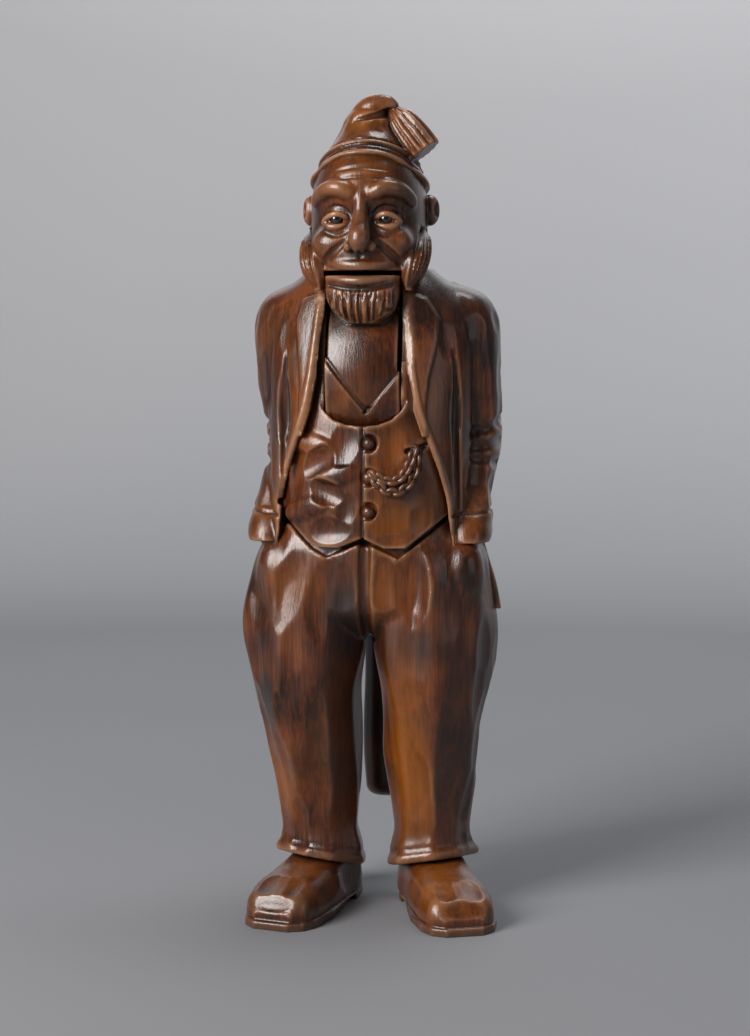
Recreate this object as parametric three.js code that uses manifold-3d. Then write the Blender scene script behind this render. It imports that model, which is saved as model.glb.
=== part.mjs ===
// A carved wooden nutcracker: an old man in a stocking cap, hands in his pockets.
// The figure is one carved block. A slot runs through its mouth and chest to its back, and the
// jaw lever rocks in that slot on a steel pin: beard and shirt front before the pin, handle behind it.
// Millimetres. X runs to the figure's left, Y to its back, Z up from the floor it stands on.
import * as THREE from "three";
import { mergeVertices } from "three/addons/utils/BufferGeometryUtils.js";
import Module from "manifold-3d";

const wasm = await Module();
wasm.setup();

// Fits
const CLEARANCE = 0.3;
const MOUTH_GAP = 1.2;

// Pivot and slot
const PIVOT_LEVEL = 137;
const PIVOT_SETBACK = 5;
const PIN_RADIUS = 2;
const PIN_LENGTH = 57;
const JAW_HALF_WIDTH = 9.2;
const SHIRT_RADIUS = 25;
const SHIRT_CROWN = 1.4;
const HUB_RADIUS = 9;
const SLOT_BACK_RISE = 11.5;

// Heights above the floor
const CUFF_LEVEL = 11.5;
const CUFF_HEIGHT = 4.5;
const CALF_LEVEL = 27;
const KNEE_LEVEL = 54;
const CROTCH_LEVEL = 70;
const THIGH_LEVEL = 73;
const TAIL_HEM_LEVEL = 77;
const WAIST_LEVEL = 94;
const VEST_HEM_LEVEL = 96.6;
const BELLY_LEVEL = 108;
const CHEST_LEVEL = 136;
const SHOULDER_LEVEL = 150;
const COLLAR_LEVEL = 163;
const MOUTH_LEVEL = 162;
const CHEEK_LEVEL = 168;
const EYE_LEVEL = 174.5;
const BROW_LEVEL = 180;
const CAP_BAND_LEVEL = 183;
const CROWN_LEVEL = 198;
const CAP_FOLD_LEVEL = 201.5;

// Trousers
const HIP_HALF_WIDTH = 28;
const LEG_SPREAD = 15.9;
const ANKLE_SPREAD = 14.4;
const ANKLE_SWAY = 1.1;
const ANKLE_SETBACK = 2.6;
const KNEE_ADVANCE = 0.8;
const THIGH_HALF_WIDTH = 15.8;
const THIGH_HALF_DEPTH = 17;
const KNEE_HALF_WIDTH = 13.1;
const KNEE_HALF_DEPTH = 15;
const CALF_HALF_WIDTH = 10.1;
const CALF_HALF_DEPTH = 11.6;
const CUFF_FLARE = 1.2;
const LEG_FACETS = 8;
const FACET_SWELL = 0.5;

// Shoes
const SHOE_LENGTH = 43;
const SHOE_HALF_WIDTH = 9.2;
const SHOE_HEEL_SETBACK = 14;
const INSTEP_HEIGHT = 15;
const TOE_HEIGHT = 9.5;
const SOLE_THICKNESS = 3;
const SOLE_LIP = 0.8;
const ARCH_DEPTH = 1.4;
const ARCH_LENGTH = 9;
const HEEL_LENGTH = 10;
const TOE_OUT_ANGLE = 16;
const LEFT_TOE_TURN = 3.5;
const LEFT_FOOT_SWAY = 1.2;

// Waistcoat, coat and sleeves
const TORSO_HALF_WIDTH = 24.4;
const BELLY_DEPTH = 20;
const BACK_DEPTH = 18.6;
const TORSO_SQUARENESS = 2.2;
const COAT_THICKNESS = 2.2;
const LAPEL_THICKNESS = 1.1;
const LAPEL_WIDTH = 7;
const COAT_OPENING_TOP = 10.5;
const COAT_OPENING_BOTTOM = 21;
const NECKLINE_HALF_WIDTH = 11.6;
const NECKLINE_BAND = 2.6;
const SCOOP_RADIUS = 7;
const SCOOP_DEPTH = 1.2;
const VEST_POINT_SPREAD = 9;
const VEST_POINT_DROP = 4;
const VEST_SIDE_RISE = 5.4;
const SLEEVE_REACH = 25.4;
const SLEEVE_SWAY = 2.6;
const SLEEVE_HALF_WIDTH = 5.5;
const SLEEVE_HALF_DEPTH = 8.8;
const SLEEVE_CUFF_FLARE = 0.8;
const TAIL_HALF_WIDTH = 32.2;
const TAIL_SWAY = 0.7;
const TAIL_DEPTH = 22.4;
const BUTTON_OFFSET = 1.8;
const BUTTON_RADIUS = 1.5;
const BUTTON_SHANK_RADIUS = 0.8;
const BUTTON_SHANK_LENGTH = 5;
const BUTTON_PITCH = 8.4;
const BUTTON_MARGIN = 0.5;
const CHAIN_RADIUS = 1.1;
const CHAIN_REACH = 11.8;
const CHAIN_SAG = 4.4;

// Head and cap
const HEAD_SETBACK = -2.5;
const HEAD_HALF_WIDTH = 14.6;
const FACE_DEPTH = 18.6;
const NAPE_DEPTH = 15.6;
const EYE_SPREAD = 6;
const EYE_RADIUS = 1.5;
const EYE_PEG_LENGTH = 4;
const NOSE_LENGTH = 13;
const NOSE_HALF_WIDTH = 2.9;
const EAR_HEIGHT = 10;
const WHISKER_THICKNESS = 3.1;
const CAP_THICKNESS = 0.6;
const CAP_TILT = 24;
const CAP_FRONT_LEVEL = 191.5;
const CAP_BACK_LEVEL = 178;
const CAP_TIP_RADIUS = 4.3;
const TASSEL_LENGTH = 13;
const TASSEL_RADIUS = 4.6;

// Jaw and handle
const BEARD_DEPTH = 10.6;
const BEARD_LENGTH = 12;
const LIP_THICKNESS = 5.4;
const NUT_FLOOR_DROP = 7;
const HANDLE_SETBACK = 33;
const HANDLE_END_LEVEL = 21.5;
const HANDLE_HALF_WIDTH = 5.7;
const HANDLE_HALF_DEPTH = 4.5;

const X_AXIS = new THREE.Vector3(1, 0, 0);
const Y_AXIS = new THREE.Vector3(0, 1, 0);
const Z_AXIS = new THREE.Vector3(0, 0, 1);
const SIDES = [-1, 1];
const PIVOT = new THREE.Vector3(0, PIVOT_SETBACK, PIVOT_LEVEL);
const SLOT_HALF_WIDTH = JAW_HALF_WIDTH + CLEARANCE;
const JAW_TOP = MOUTH_LEVEL - MOUTH_GAP;
const FAR = 80;

const mix = THREE.MathUtils.lerp;
const radians = THREE.MathUtils.degToRad;

// Smooth value at t, from 0 to 1, along evenly spaced values.
function along(values, t) {
  const last = values.length - 1;
  const at = Math.min(Math.floor(t * last), last - 1);
  const near = [at - 1, at, at + 1, at + 2].map((i) => THREE.MathUtils.clamp(i, 0, last));
  const [a, b, c, d] = near.map((i) => values[i]);
  const u = t * last - at;
  const slope = (c - a) / 2;
  const nextSlope = (d - b) / 2;
  const bend = 3 * (c - b) - 2 * slope - nextSlope;
  const turn = 2 * (b - c) + slope + nextSlope;
  return b + u * (slope + u * (bend + u * turn));
}

// A closed skin over a row of loops that all have the same number of points.
function skin(loops) {
  const sides = loops[0].length;
  const points = loops.flat();
  const middle = (loop) => loop.reduce((sum, p) => sum.add(p), new THREE.Vector3()).divideScalar(sides);
  const [start, finish] = [points.length, points.length + 1];
  points.push(middle(loops[0]), middle(loops.at(-1)));
  const faces = [];
  const top = (loops.length - 1) * sides;
  for (let j = 0; j < sides; j++) {
    const k = (j + 1) % sides;
    for (let ring = 0; ring < top; ring += sides) {
      faces.push(ring + j, ring + k, ring + sides + k);
      faces.push(ring + j, ring + sides + k, ring + sides + j);
    }
    faces.push(start, k, j, finish, top + j, top + k);
  }
  return new THREE.BufferGeometry().setFromPoints(points).setIndex(faces);
}

// A form swept through stations: each has a place, a half width, a depth before and behind it,
// and a power that squares its section. across is the direction that the width is measured in,
// and turn moves the section's corners round by a share of a side.
function sweep(stations, { rings = 12, sides = 20, turn = 0, across = X_AXIS } = {}) {
  const places = stations.map((s) => new THREE.Vector3(s.x ?? 0, s.y ?? 0, s.z));
  const path = new THREE.CatmullRomCurve3(places);
  const value = (pick, t) => along(stations.map(pick), t);
  const loops = [];
  for (let i = 0; i <= rings; i++) {
    const t = i / rings;
    const centre = path.getPoint(t);
    const ahead = path.getTangent(t);
    const behind = ahead.clone().cross(across).normalize();
    const side = behind.clone().cross(ahead);
    const wide = value((s) => s.wide, t);
    const depths = [value((s) => s.front, t), value((s) => s.back ?? s.front, t)];
    const bend = 2 / value((s) => s.power ?? 2, t);
    loops.push(
      Array.from({ length: sides }, (_, j) => {
        const angle = (2 * Math.PI * (j + turn)) / sides;
        const [c, s] = [Math.cos(angle), Math.sin(angle)];
        const u = wide * Math.sign(c) * Math.abs(c) ** bend;
        const v = depths[s < 0 ? 0 : 1] * Math.sign(s) * Math.abs(s) ** bend;
        return centre.clone().addScaledVector(side, u).addScaledVector(behind, v);
      }),
    );
  }
  return solid(skin(loops));
}

// An egg with its own half size in each direction.
function egg(x, y, z, wide, deep, tall, detail = 8) {
  const geometry = new THREE.SphereGeometry(1, detail, detail - 2);
  return solid(geometry.scale(wide, deep, tall).translate(x, y, z));
}

// An outline in Y and Z, seen from the side, made a slab across the figure.
function sideSlab(points, halfWidth) {
  const settings = { depth: 2 * halfWidth, bevelEnabled: false };
  const geometry = new THREE.ExtrudeGeometry(outline(points), settings).translate(0, 0, -halfWidth);
  const turn = new THREE.Matrix4().makeBasis(Y_AXIS, Z_AXIS, X_AXIS);
  return solid(geometry.applyMatrix4(turn));
}

// An outline in X and Z, seen from the front, cut from y = from forwards.
function frontSlab(shape, from = 0) {
  const geometry = new THREE.ExtrudeGeometry(shape, { depth: FAR, bevelEnabled: false, curveSegments: 8 });
  const turn = new THREE.Matrix4().makeBasis(X_AXIS, Z_AXIS, new THREE.Vector3(0, -1, 0));
  return solid(geometry.applyMatrix4(turn).translate(0, from, 0));
}

// A turned form about the pivot's line: its radius at even steps from -halfLength to halfLength.
function turnedOnPivot(radiusAt, halfLength, steps, sides) {
  const profile = [new THREE.Vector2(0, -halfLength)];
  for (let i = 0; i <= steps; i++) {
    const x = mix(-halfLength, halfLength, i / steps);
    profile.push(new THREE.Vector2(radiusAt(x), x));
  }
  profile.push(new THREE.Vector2(0, halfLength));
  const geometry = new THREE.LatheGeometry(profile, sides).rotateZ(-Math.PI / 2);
  return solid(geometry.translate(PIVOT.x, PIVOT.y, PIVOT.z));
}

// A turned peg along -Y with its seat at place: [radius, distance ahead of the seat] from the tail on.
function turnedPeg(profile, place, sides = 12) {
  const points = profile.map(([radius, ahead]) => new THREE.Vector2(radius, ahead));
  const geometry = new THREE.LatheGeometry(points, sides).rotateX(Math.PI);
  return solid(geometry.translate(place.x, place.y, place.z));
}

function outline(points) {
  return new THREE.Shape(points.map(([u, v]) => new THREE.Vector2(u, v)));
}

// A closed geometry as a solid, with its corners welded and its empty triangles left out.
function solid(geometry) {
  const bare = new THREE.BufferGeometry().setAttribute("position", geometry.getAttribute("position"));
  const welded = mergeVertices(bare.setIndex(geometry.index), 1e-4);
  const index = welded.index.array;
  const kept = [];
  for (let i = 0; i < index.length; i += 3) {
    const [a, b, c] = index.slice(i, i + 3);
    if (a !== b && b !== c && c !== a) kept.push(a, b, c);
  }
  const vertProperties = welded.attributes.position.array;
  const triVerts = new Uint32Array(kept);
  return new wasm.Manifold(new wasm.Mesh({ numProp: 3, vertProperties, triVerts }));
}

const join = (...solids) => solids.flat().reduce((all, one) => all.add(one));
const cut = (whole, ...solids) => solids.flat().reduce((rest, one) => rest.subtract(one), whole);
const both = (make) => SIDES.map((side) => make(side));

// Trousers
function hips() {
  const [belly, back, thigh] = [BELLY_DEPTH, BACK_DEPTH, THIGH_HALF_DEPTH];
  const level = (share) => mix(CROTCH_LEVEL, WAIST_LEVEL, share);
  return sweep(
    [
      { z: level(0), wide: HIP_HALF_WIDTH * 0.11, front: thigh * 0.53, back: thigh * 0.59 },
      { z: level(0.3), wide: HIP_HALF_WIDTH * 0.74, front: thigh * 0.95, back: thigh },
      { z: level(0.72), wide: HIP_HALF_WIDTH, front: belly * 0.9, back: back * 0.93 },
      { z: level(1.45), wide: HIP_HALF_WIDTH * 0.78, front: belly * 0.87, back: back * 0.86 },
    ],
    { rings: 6, sides: 24 },
  );
}

// A leg shaved into long flat facets: the right one has a flat at its front, the left one a ridge.
function trouserLeg(side) {
  const ankle = [side * ANKLE_SPREAD + ANKLE_SWAY, ANKLE_SETBACK];
  const station = (x, y, z, wide, front) => ({
    x,
    y,
    z,
    wide: wide + FACET_SWELL,
    front: front + FACET_SWELL,
    power: 2.3,
  });
  const cuffTop = CUFF_LEVEL + CUFF_HEIGHT;
  const [wide, deep] = [CALF_HALF_WIDTH * 0.9, CALF_HALF_DEPTH * 0.91];
  return sweep(
    [
      station(...ankle, CUFF_LEVEL, wide + CUFF_FLARE, deep + CUFF_FLARE),
      station(...ankle, cuffTop, wide + CUFF_FLARE * 0.2, deep + CUFF_FLARE * 0.2),
      station(ankle[0], ANKLE_SETBACK * 0.8, CALF_LEVEL, CALF_HALF_WIDTH, CALF_HALF_DEPTH),
      station(
        mix(side * LEG_SPREAD, ankle[0], 0.6),
        ANKLE_SETBACK * 0.4,
        mix(KNEE_LEVEL, CALF_LEVEL, 0.6),
        mix(KNEE_HALF_WIDTH, CALF_HALF_WIDTH, 0.58),
        mix(KNEE_HALF_DEPTH, CALF_HALF_DEPTH, 0.58),
      ),
      station(side * LEG_SPREAD, -KNEE_ADVANCE, KNEE_LEVEL, KNEE_HALF_WIDTH, KNEE_HALF_DEPTH),
      station(side * LEG_SPREAD, 0, THIGH_LEVEL, THIGH_HALF_WIDTH, THIGH_HALF_DEPTH),
      station(
        side * LEG_SPREAD * 0.85,
        0,
        mix(THIGH_LEVEL, WAIST_LEVEL, 0.9),
        THIGH_HALF_WIDTH * 0.95,
        THIGH_HALF_DEPTH * 0.94,
      ),
    ],
    { rings: 14, sides: LEG_FACETS, turn: side < 0 ? 0.5 : 0.15 },
  );
}

// Shoes: an upper lofted from heel to toe, on a sole with its arch cut away.
function shoe(side) {
  const heel = SHOE_HEEL_SETBACK;
  const toe = heel - SHOE_LENGTH;
  const inside = SOLE_THICKNESS * 0.67;
  const at = (share, wide, top) => ({
    y: mix(heel, toe, share),
    z: inside,
    wide: SHOE_HALF_WIDTH * wide,
    front: inside * 0.4,
    back: top - inside,
    power: 2.9,
  });
  const upper = sweep(
    [
      at(0.03, 0.66, INSTEP_HEIGHT * 0.8),
      at(0.12, 0.85, INSTEP_HEIGHT),
      at(0.4, 0.9, INSTEP_HEIGHT * 1.05),
      at(0.66, 1, TOE_HEIGHT * 1.25),
      at(0.85, 1, TOE_HEIGHT * 1.06),
      at(0.95, 0.88, TOE_HEIGHT * 0.8),
      at(0.99, 0.66, TOE_HEIGHT * 0.54),
    ],
    { rings: 12, sides: 16 },
  );
  const heelRadius = SHOE_HALF_WIDTH * 0.83 + SOLE_LIP;
  const ballRadius = SHOE_HALF_WIDTH + SOLE_LIP;
  const ball = mix(heel, toe, 0.62);
  const tread = new THREE.Shape();
  tread.absarc(0, heel - heelRadius + SOLE_LIP, heelRadius, 0, Math.PI, false);
  const corner = mix(ball, toe, 0.7);
  tread.lineTo(-ballRadius, ball);
  tread.lineTo(-ballRadius * 0.98, corner);
  tread.lineTo(-ballRadius * 0.62, toe - SOLE_LIP);
  tread.lineTo(ballRadius * 0.62, toe - SOLE_LIP);
  tread.lineTo(ballRadius * 0.98, corner);
  tread.lineTo(ballRadius, ball);
  tread.closePath();
  const settings = { depth: SOLE_THICKNESS, bevelEnabled: false, curveSegments: 8 };
  const sole = solid(new THREE.ExtrudeGeometry(tread, settings));
  const heelFront = heel - HEEL_LENGTH;
  const arch = sideSlab(
    [
      [heelFront, -1],
      [heelFront, ARCH_DEPTH],
      [heelFront - ARCH_LENGTH * 0.55, ARCH_DEPTH],
      [heelFront - ARCH_LENGTH, -1],
    ],
    FAR,
  );
  const [turn, sway] = side > 0 ? [LEFT_TOE_TURN, LEFT_FOOT_SWAY] : [0, 0];
  return cut(join(upper, sole), arch)
    .rotate([0, 0, side * TOE_OUT_ANGLE + turn])
    .translate([side * ANKLE_SPREAD + ANKLE_SWAY + sway, 0, 0]);
}

// Waistcoat, coat and sleeves. grow lifts a garment off the body below it.
function torsoForm(grow) {
  const station = (z, wide, front, back) => ({
    z,
    wide: TORSO_HALF_WIDTH * wide + grow,
    front: BELLY_DEPTH * front + grow,
    back: BACK_DEPTH * back + grow,
    power: TORSO_SQUARENESS,
  });
  return sweep(
    [
      station(mix(CROTCH_LEVEL, WAIST_LEVEL, 0.5), 1, 0.85, 1),
      station(WAIST_LEVEL, 1.01, 0.955, 0.99),
      station(BELLY_LEVEL, 1, 1, 0.98),
      station(mix(BELLY_LEVEL, CHEST_LEVEL, 0.5), 0.99, 0.97, 1.01),
      station(CHEST_LEVEL, 1.01, 0.88, 1.03),
      station(SHOULDER_LEVEL, 0.96, 0.71, 0.98),
      station(mix(SHOULDER_LEVEL, COLLAR_LEVEL, 0.6), 0.76, 0.56, 0.79),
      station(COLLAR_LEVEL, 0.54, 0.4, 0.62),
    ],
    { rings: 13, sides: 26 },
  );
}

// How far the belly's front falls back at a distance from its middle.
function bellyRound(x) {
  const share = Math.abs(x / TORSO_HALF_WIDTH) ** TORSO_SQUARENESS;
  return BELLY_DEPTH * (1 - (1 - share) ** (1 / TORSO_SQUARENESS));
}

function waistcoat() {
  const sideLevel = VEST_HEM_LEVEL + VEST_SIDE_RISE;
  const below = outline([
    [-FAR, 0],
    [FAR, 0],
    [FAR, sideLevel],
    [COAT_OPENING_BOTTOM, sideLevel],
    [VEST_POINT_SPREAD, VEST_HEM_LEVEL - VEST_POINT_DROP],
    [0, VEST_HEM_LEVEL],
    [-VEST_POINT_SPREAD, VEST_HEM_LEVEL - VEST_POINT_DROP],
    [-COAT_OPENING_BOTTOM, sideLevel],
    [-FAR, sideLevel],
  ]);
  return cut(torsoForm(0), frontSlab(below), scoops());
}

// Wide gouge cuts on the waistcoat's right half: shares of its opening and of its height.
function scoops() {
  const places = [
    [0.43, 0.9],
    [0.67, 0.72],
    [0.33, 0.62],
    [0.52, 0.4],
    [0.22, 0.22],
    [0.62, 0.1],
  ];
  return places.map(([across, up]) => {
    const x = -COAT_OPENING_BOTTOM * across;
    const y = SCOOP_DEPTH - SCOOP_RADIUS - BELLY_DEPTH + bellyRound(x);
    const z = mix(VEST_HEM_LEVEL, topButtonLevel(), up);
    return egg(x, y, z, SCOOP_RADIUS, SCOOP_RADIUS, SCOOP_RADIUS * 0.85, 12);
  });
}

// The coat's front edge, from collar to hip, as half widths of its opening.
function coatEdge() {
  const edge = (share, level) => [mix(COAT_OPENING_TOP, COAT_OPENING_BOTTOM, share), level];
  return [
    edge(0, CROWN_LEVEL),
    edge(0, mix(SHOULDER_LEVEL, COLLAR_LEVEL, 0.3)),
    edge(0.16, CHEST_LEVEL),
    edge(0.32, mix(BELLY_LEVEL, CHEST_LEVEL, 0.7)),
    edge(0.5, mix(BELLY_LEVEL, CHEST_LEVEL, 0.5)),
    edge(0.8, mix(BELLY_LEVEL, CHEST_LEVEL, 0.18)),
    edge(1, mix(WAIST_LEVEL, BELLY_LEVEL, 0.6)),
    edge(1, WAIST_LEVEL),
  ];
}

function coat() {
  const edge = coatEdge();
  const flare = COAT_OPENING_BOTTOM * 1.6;
  const bottom = CROTCH_LEVEL;
  const mirrored = edge.map(([x, z]) => [-x, z]).reverse();
  const opening = outline([...edge, [flare, bottom], [-flare, bottom], ...mirrored]);
  const front = cut(torsoForm(COAT_THICKNESS), frontSlab(opening));
  const station = (z, wide, back) => ({
    x: TAIL_SWAY,
    z,
    wide,
    front: BACK_DEPTH * 0.65,
    back,
    power: 2.4,
  });
  const tails = sweep(
    [
      station(TAIL_HEM_LEVEL, TAIL_HALF_WIDTH, TAIL_DEPTH),
      station(
        mix(WAIST_LEVEL, TAIL_HEM_LEVEL, 0.3),
        mix(TORSO_HALF_WIDTH, TAIL_HALF_WIDTH, 0.7),
        TAIL_DEPTH * 0.95,
      ),
      station(mix(WAIST_LEVEL, BELLY_LEVEL, 0.7), TORSO_HALF_WIDTH * 1.04, BACK_DEPTH * 1.05),
    ],
    { rings: 6, sides: 28 },
  );
  const foreparts = outline([
    [-FAR, 0],
    [FAR, 0],
    [FAR, CHEST_LEVEL],
    [-FAR, CHEST_LEVEL],
  ]);
  return join(front, cut(tails, frontSlab(foreparts)));
}

function lapel(side) {
  const [, top, chest, low, foot] = coatEdge();
  const outer = [
    [low[0] + LAPEL_WIDTH * 0.25, low[1]],
    [chest[0] + LAPEL_WIDTH * 0.52, chest[1]],
    [mix(top[0], chest[0], 0.6) + LAPEL_WIDTH * 0.85, mix(top[1], chest[1], 0.6)],
    [top[0] + LAPEL_WIDTH, top[1] - LAPEL_WIDTH * 0.5],
    [top[0] + LAPEL_WIDTH * 0.6, top[1]],
  ];
  const edge = [top, chest, low, foot, ...outer];
  const flap = frontSlab(outline(edge.map(([x, z]) => [side * x, z])));
  return torsoForm(COAT_THICKNESS + LAPEL_THICKNESS).intersect(flap);
}

function sleeve(side) {
  const place = (reach, sway, back, z) => ({
    x: side * SLEEVE_REACH * reach + SLEEVE_SWAY * sway,
    y: SLEEVE_HALF_DEPTH * back,
    z,
  });
  const station = (reach, sway, back, z, wide, deep) => ({
    ...place(reach, sway, back, z),
    wide: SLEEVE_HALF_WIDTH * wide,
    front: SLEEVE_HALF_DEPTH * deep,
    power: 2.3,
  });
  const forearm = (share) => mix(WAIST_LEVEL, BELLY_LEVEL, share);
  const arm = sweep(
    [
      station(0.79, 0.5, 0.28, mix(SHOULDER_LEVEL, COLLAR_LEVEL, 0.5), 0.8, 0.73),
      station(0.93, 0.55, 0.28, SHOULDER_LEVEL, 1.06, 0.98),
      station(1, 0.62, 0.34, CHEST_LEVEL, 1.05, 1.01),
      station(0.985, 1, 0.5, mix(BELLY_LEVEL, CHEST_LEVEL, 0.45), 0.97, 0.98),
      station(0.97, 0.56, 0.14, BELLY_LEVEL, 0.97, 0.91),
      station(0.975, 0.1, -0.43, forearm(0.3), 1, 0.86),
      station(0.955, 0.1, -0.77, forearm(-0.15), 0.86, 0.73),
    ],
    { rings: 14, sides: 14 },
  );
  const { x, y, z } = place(0.846, 0.35, 0.28, SHOULDER_LEVEL);
  const [wide, deep] = [SLEEVE_HALF_WIDTH * 1.56, SLEEVE_HALF_DEPTH];
  const shoulder = egg(x, y, z, wide, deep * 1.07, deep, 14);
  const flare = SLEEVE_CUFF_FLARE / SLEEVE_HALF_WIDTH;
  const cuff = sweep(
    [
      station(0.972, 0.25, -0.24, forearm(0.5), 1, 0.88),
      station(0.98, 0.1, -0.4, forearm(0.3), 1 + flare * 0.5, 0.88 + flare * 0.5),
      station(0.98, 0.1, -0.56, forearm(0.1), 1 + flare * 0.5, 0.84 + flare * 0.5),
    ],
    { rings: 3, sides: 14 },
  );
  return join(arm, shoulder, cuff);
}

// The hand's bulge below the sleeve, inside the trouser pocket.
function pocketBulge(side) {
  const x = side * SLEEVE_REACH * 0.92 + SLEEVE_SWAY * 0.4;
  const z = mix(CROTCH_LEVEL, WAIST_LEVEL, 0.68);
  return egg(x, -BELLY_DEPTH * 0.5, z, SLEEVE_HALF_WIDTH, SLEEVE_HALF_DEPTH * 0.7, SLEEVE_HALF_DEPTH, 10);
}

function watchChain() {
  const middle = buttonPlaces()[1];
  const link = (along, drop) => {
    const x = middle.x + CHAIN_REACH * along;
    return {
      x,
      y: middle.y + bellyRound(x),
      z: middle.z - CHAIN_SAG * drop,
      wide: CHAIN_RADIUS,
      front: CHAIN_RADIUS,
    };
  };
  return sweep([link(0.17, 0.15), link(0.3, 0.7), link(0.56, 1), link(0.83, 0.6), link(1, -0.2), link(1, -1)], {
    rings: 10,
    sides: 8,
    across: Y_AXIS,
  });
}

// Head
function skull() {
  const station = (z, wide, front, back) => ({
    y: HEAD_SETBACK,
    z,
    wide: HEAD_HALF_WIDTH * wide,
    front: FACE_DEPTH * front,
    back: NAPE_DEPTH * back,
    power: 2.2,
  });
  return sweep(
    [
      station(mix(SHOULDER_LEVEL, MOUTH_LEVEL, 0.15), 0.84, 0.57, 0.74),
      station(mix(SHOULDER_LEVEL, MOUTH_LEVEL, 0.6), 0.93, 0.8, 0.86),
      station(MOUTH_LEVEL, 0.97, 0.97, 0.95),
      station(CHEEK_LEVEL, 1, 1, 1),
      station(EYE_LEVEL, 0.99, 0.91, 1.01),
      station(BROW_LEVEL, 0.97, 0.98, 1.01),
      station(mix(BROW_LEVEL, CROWN_LEVEL, 0.45), 0.81, 0.85, 0.86),
      station(mix(BROW_LEVEL, CROWN_LEVEL, 0.85), 0.5, 0.5, 0.58),
      station(CROWN_LEVEL, 0.2, 0.2, 0.24),
    ],
    { rings: 15, sides: 22 },
  );
}

// Where the front of the face lies, a share of its depth behind its foremost point.
const faceFront = (share) => HEAD_SETBACK - FACE_DEPTH * (1 - share);

function faceFeatures() {
  const noseTip = BROW_LEVEL - NOSE_LENGTH;
  const noseStation = (inset, share, size) => ({
    y: faceFront(inset),
    z: mix(BROW_LEVEL, noseTip, share),
    wide: NOSE_HALF_WIDTH * size,
    front: NOSE_HALF_WIDTH * size,
  });
  const nose = sweep(
    [
      noseStation(0.03, 0.15, 0.53),
      noseStation(-0.03, 0.5, 0.68),
      noseStation(-0.075, 0.95, 1.02),
      noseStation(-0.02, 1.17, 0.48),
    ],
    { rings: 6, sides: 8 },
  );
  const lipHeight = CHEEK_LEVEL - MOUTH_LEVEL;
  const lipStation = (share, inset, lift, size) => ({
    x: JAW_HALF_WIDTH * share,
    y: faceFront(inset),
    z: MOUTH_LEVEL + lipHeight * lift,
    wide: lipHeight * size,
    front: lipHeight * size,
  });
  const lip = sweep(
    [
      lipStation(-0.92, 0.24, 0.43, 0.17),
      lipStation(-0.5, 0.075, 0.32, 0.25),
      lipStation(0, 0.03, 0.28, 0.27),
      lipStation(0.5, 0.075, 0.32, 0.25),
      lipStation(0.92, 0.24, 0.43, 0.17),
    ],
    { rings: 10, sides: 8, across: Z_AXIS },
  );
  const browStation = (side, spread, inset, lift, size) => ({
    x: side * EYE_SPREAD * spread,
    y: faceFront(inset),
    z: BROW_LEVEL + EYE_RADIUS * lift,
    wide: EYE_RADIUS * size,
    front: EYE_RADIUS * size,
  });
  const [nostril, cheek] = [NOSE_HALF_WIDTH * 0.65, HEAD_HALF_WIDTH * 0.3];
  const paired = both((side) => [
    egg(side * NOSE_HALF_WIDTH * 0.93, faceFront(0.01), noseTip, nostril, nostril * 1.1, nostril * 0.9),
    egg(side * HEAD_HALF_WIDTH * 0.55, faceFront(0.17), CHEEK_LEVEL, cheek, cheek * 0.85, cheek * 0.85, 10),
    egg(
      side * EYE_SPREAD,
      faceFront(0.215),
      EYE_LEVEL,
      EYE_RADIUS * 2.05,
      EYE_RADIUS * 1.6,
      EYE_RADIUS * 1.65,
      10,
    ),
    sweep(
      [
        browStation(side, 0.47, 0.05, -0.13, 0.8),
        browStation(side, 1.17, 0.1, 0.4, 1),
        browStation(side, 1.83, 0.32, -1.2, 0.67),
      ],
      { rings: 6, sides: 8, across: Z_AXIS },
    ),
    egg(
      side * HEAD_HALF_WIDTH * 1.06,
      HEAD_SETBACK + NAPE_DEPTH * 0.16,
      mix(CHEEK_LEVEL, BROW_LEVEL, 0.68),
      EAR_HEIGHT * 0.21,
      EAR_HEIGHT * 0.3,
      EAR_HEIGHT / 2,
    ),
  ]);
  return join(nose, lip, paired.flat());
}

function eyeSocket(side) {
  const size = EYE_RADIUS * 3;
  return egg(side * EYE_SPREAD, faceFront(-0.075), EYE_LEVEL, size, size, size * 0.8, 10);
}

function whiskers(side) {
  const fall = CHEEK_LEVEL - MOUTH_LEVEL;
  const tuft = (spread, inset, drop, size, deep) => ({
    x: side * HEAD_HALF_WIDTH * spread,
    y: faceFront(inset),
    z: CHEEK_LEVEL - fall * drop,
    wide: WHISKER_THICKNESS * size,
    front: WHISKER_THICKNESS * deep,
  });
  return sweep(
    [
      tuft(0.9, 0.62, -0.6, 0.4, 1),
      tuft(0.9, 0.46, 0.1, 0.95, 1.5),
      tuft(0.87, 0.38, 0.75, 1.05, 1.4),
      tuft(0.82, 0.34, 1.3, 0.8, 1.1),
      tuft(0.78, 0.33, 1.75, 0.35, 0.6),
    ],
    { rings: 8, sides: 10 },
  );
}

// Stocking cap: its band tilts back, and its tip folds over to the figure's left with a tassel.
const capAxis = HEAD_SETBACK + (NAPE_DEPTH - FACE_DEPTH) / 2;

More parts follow.
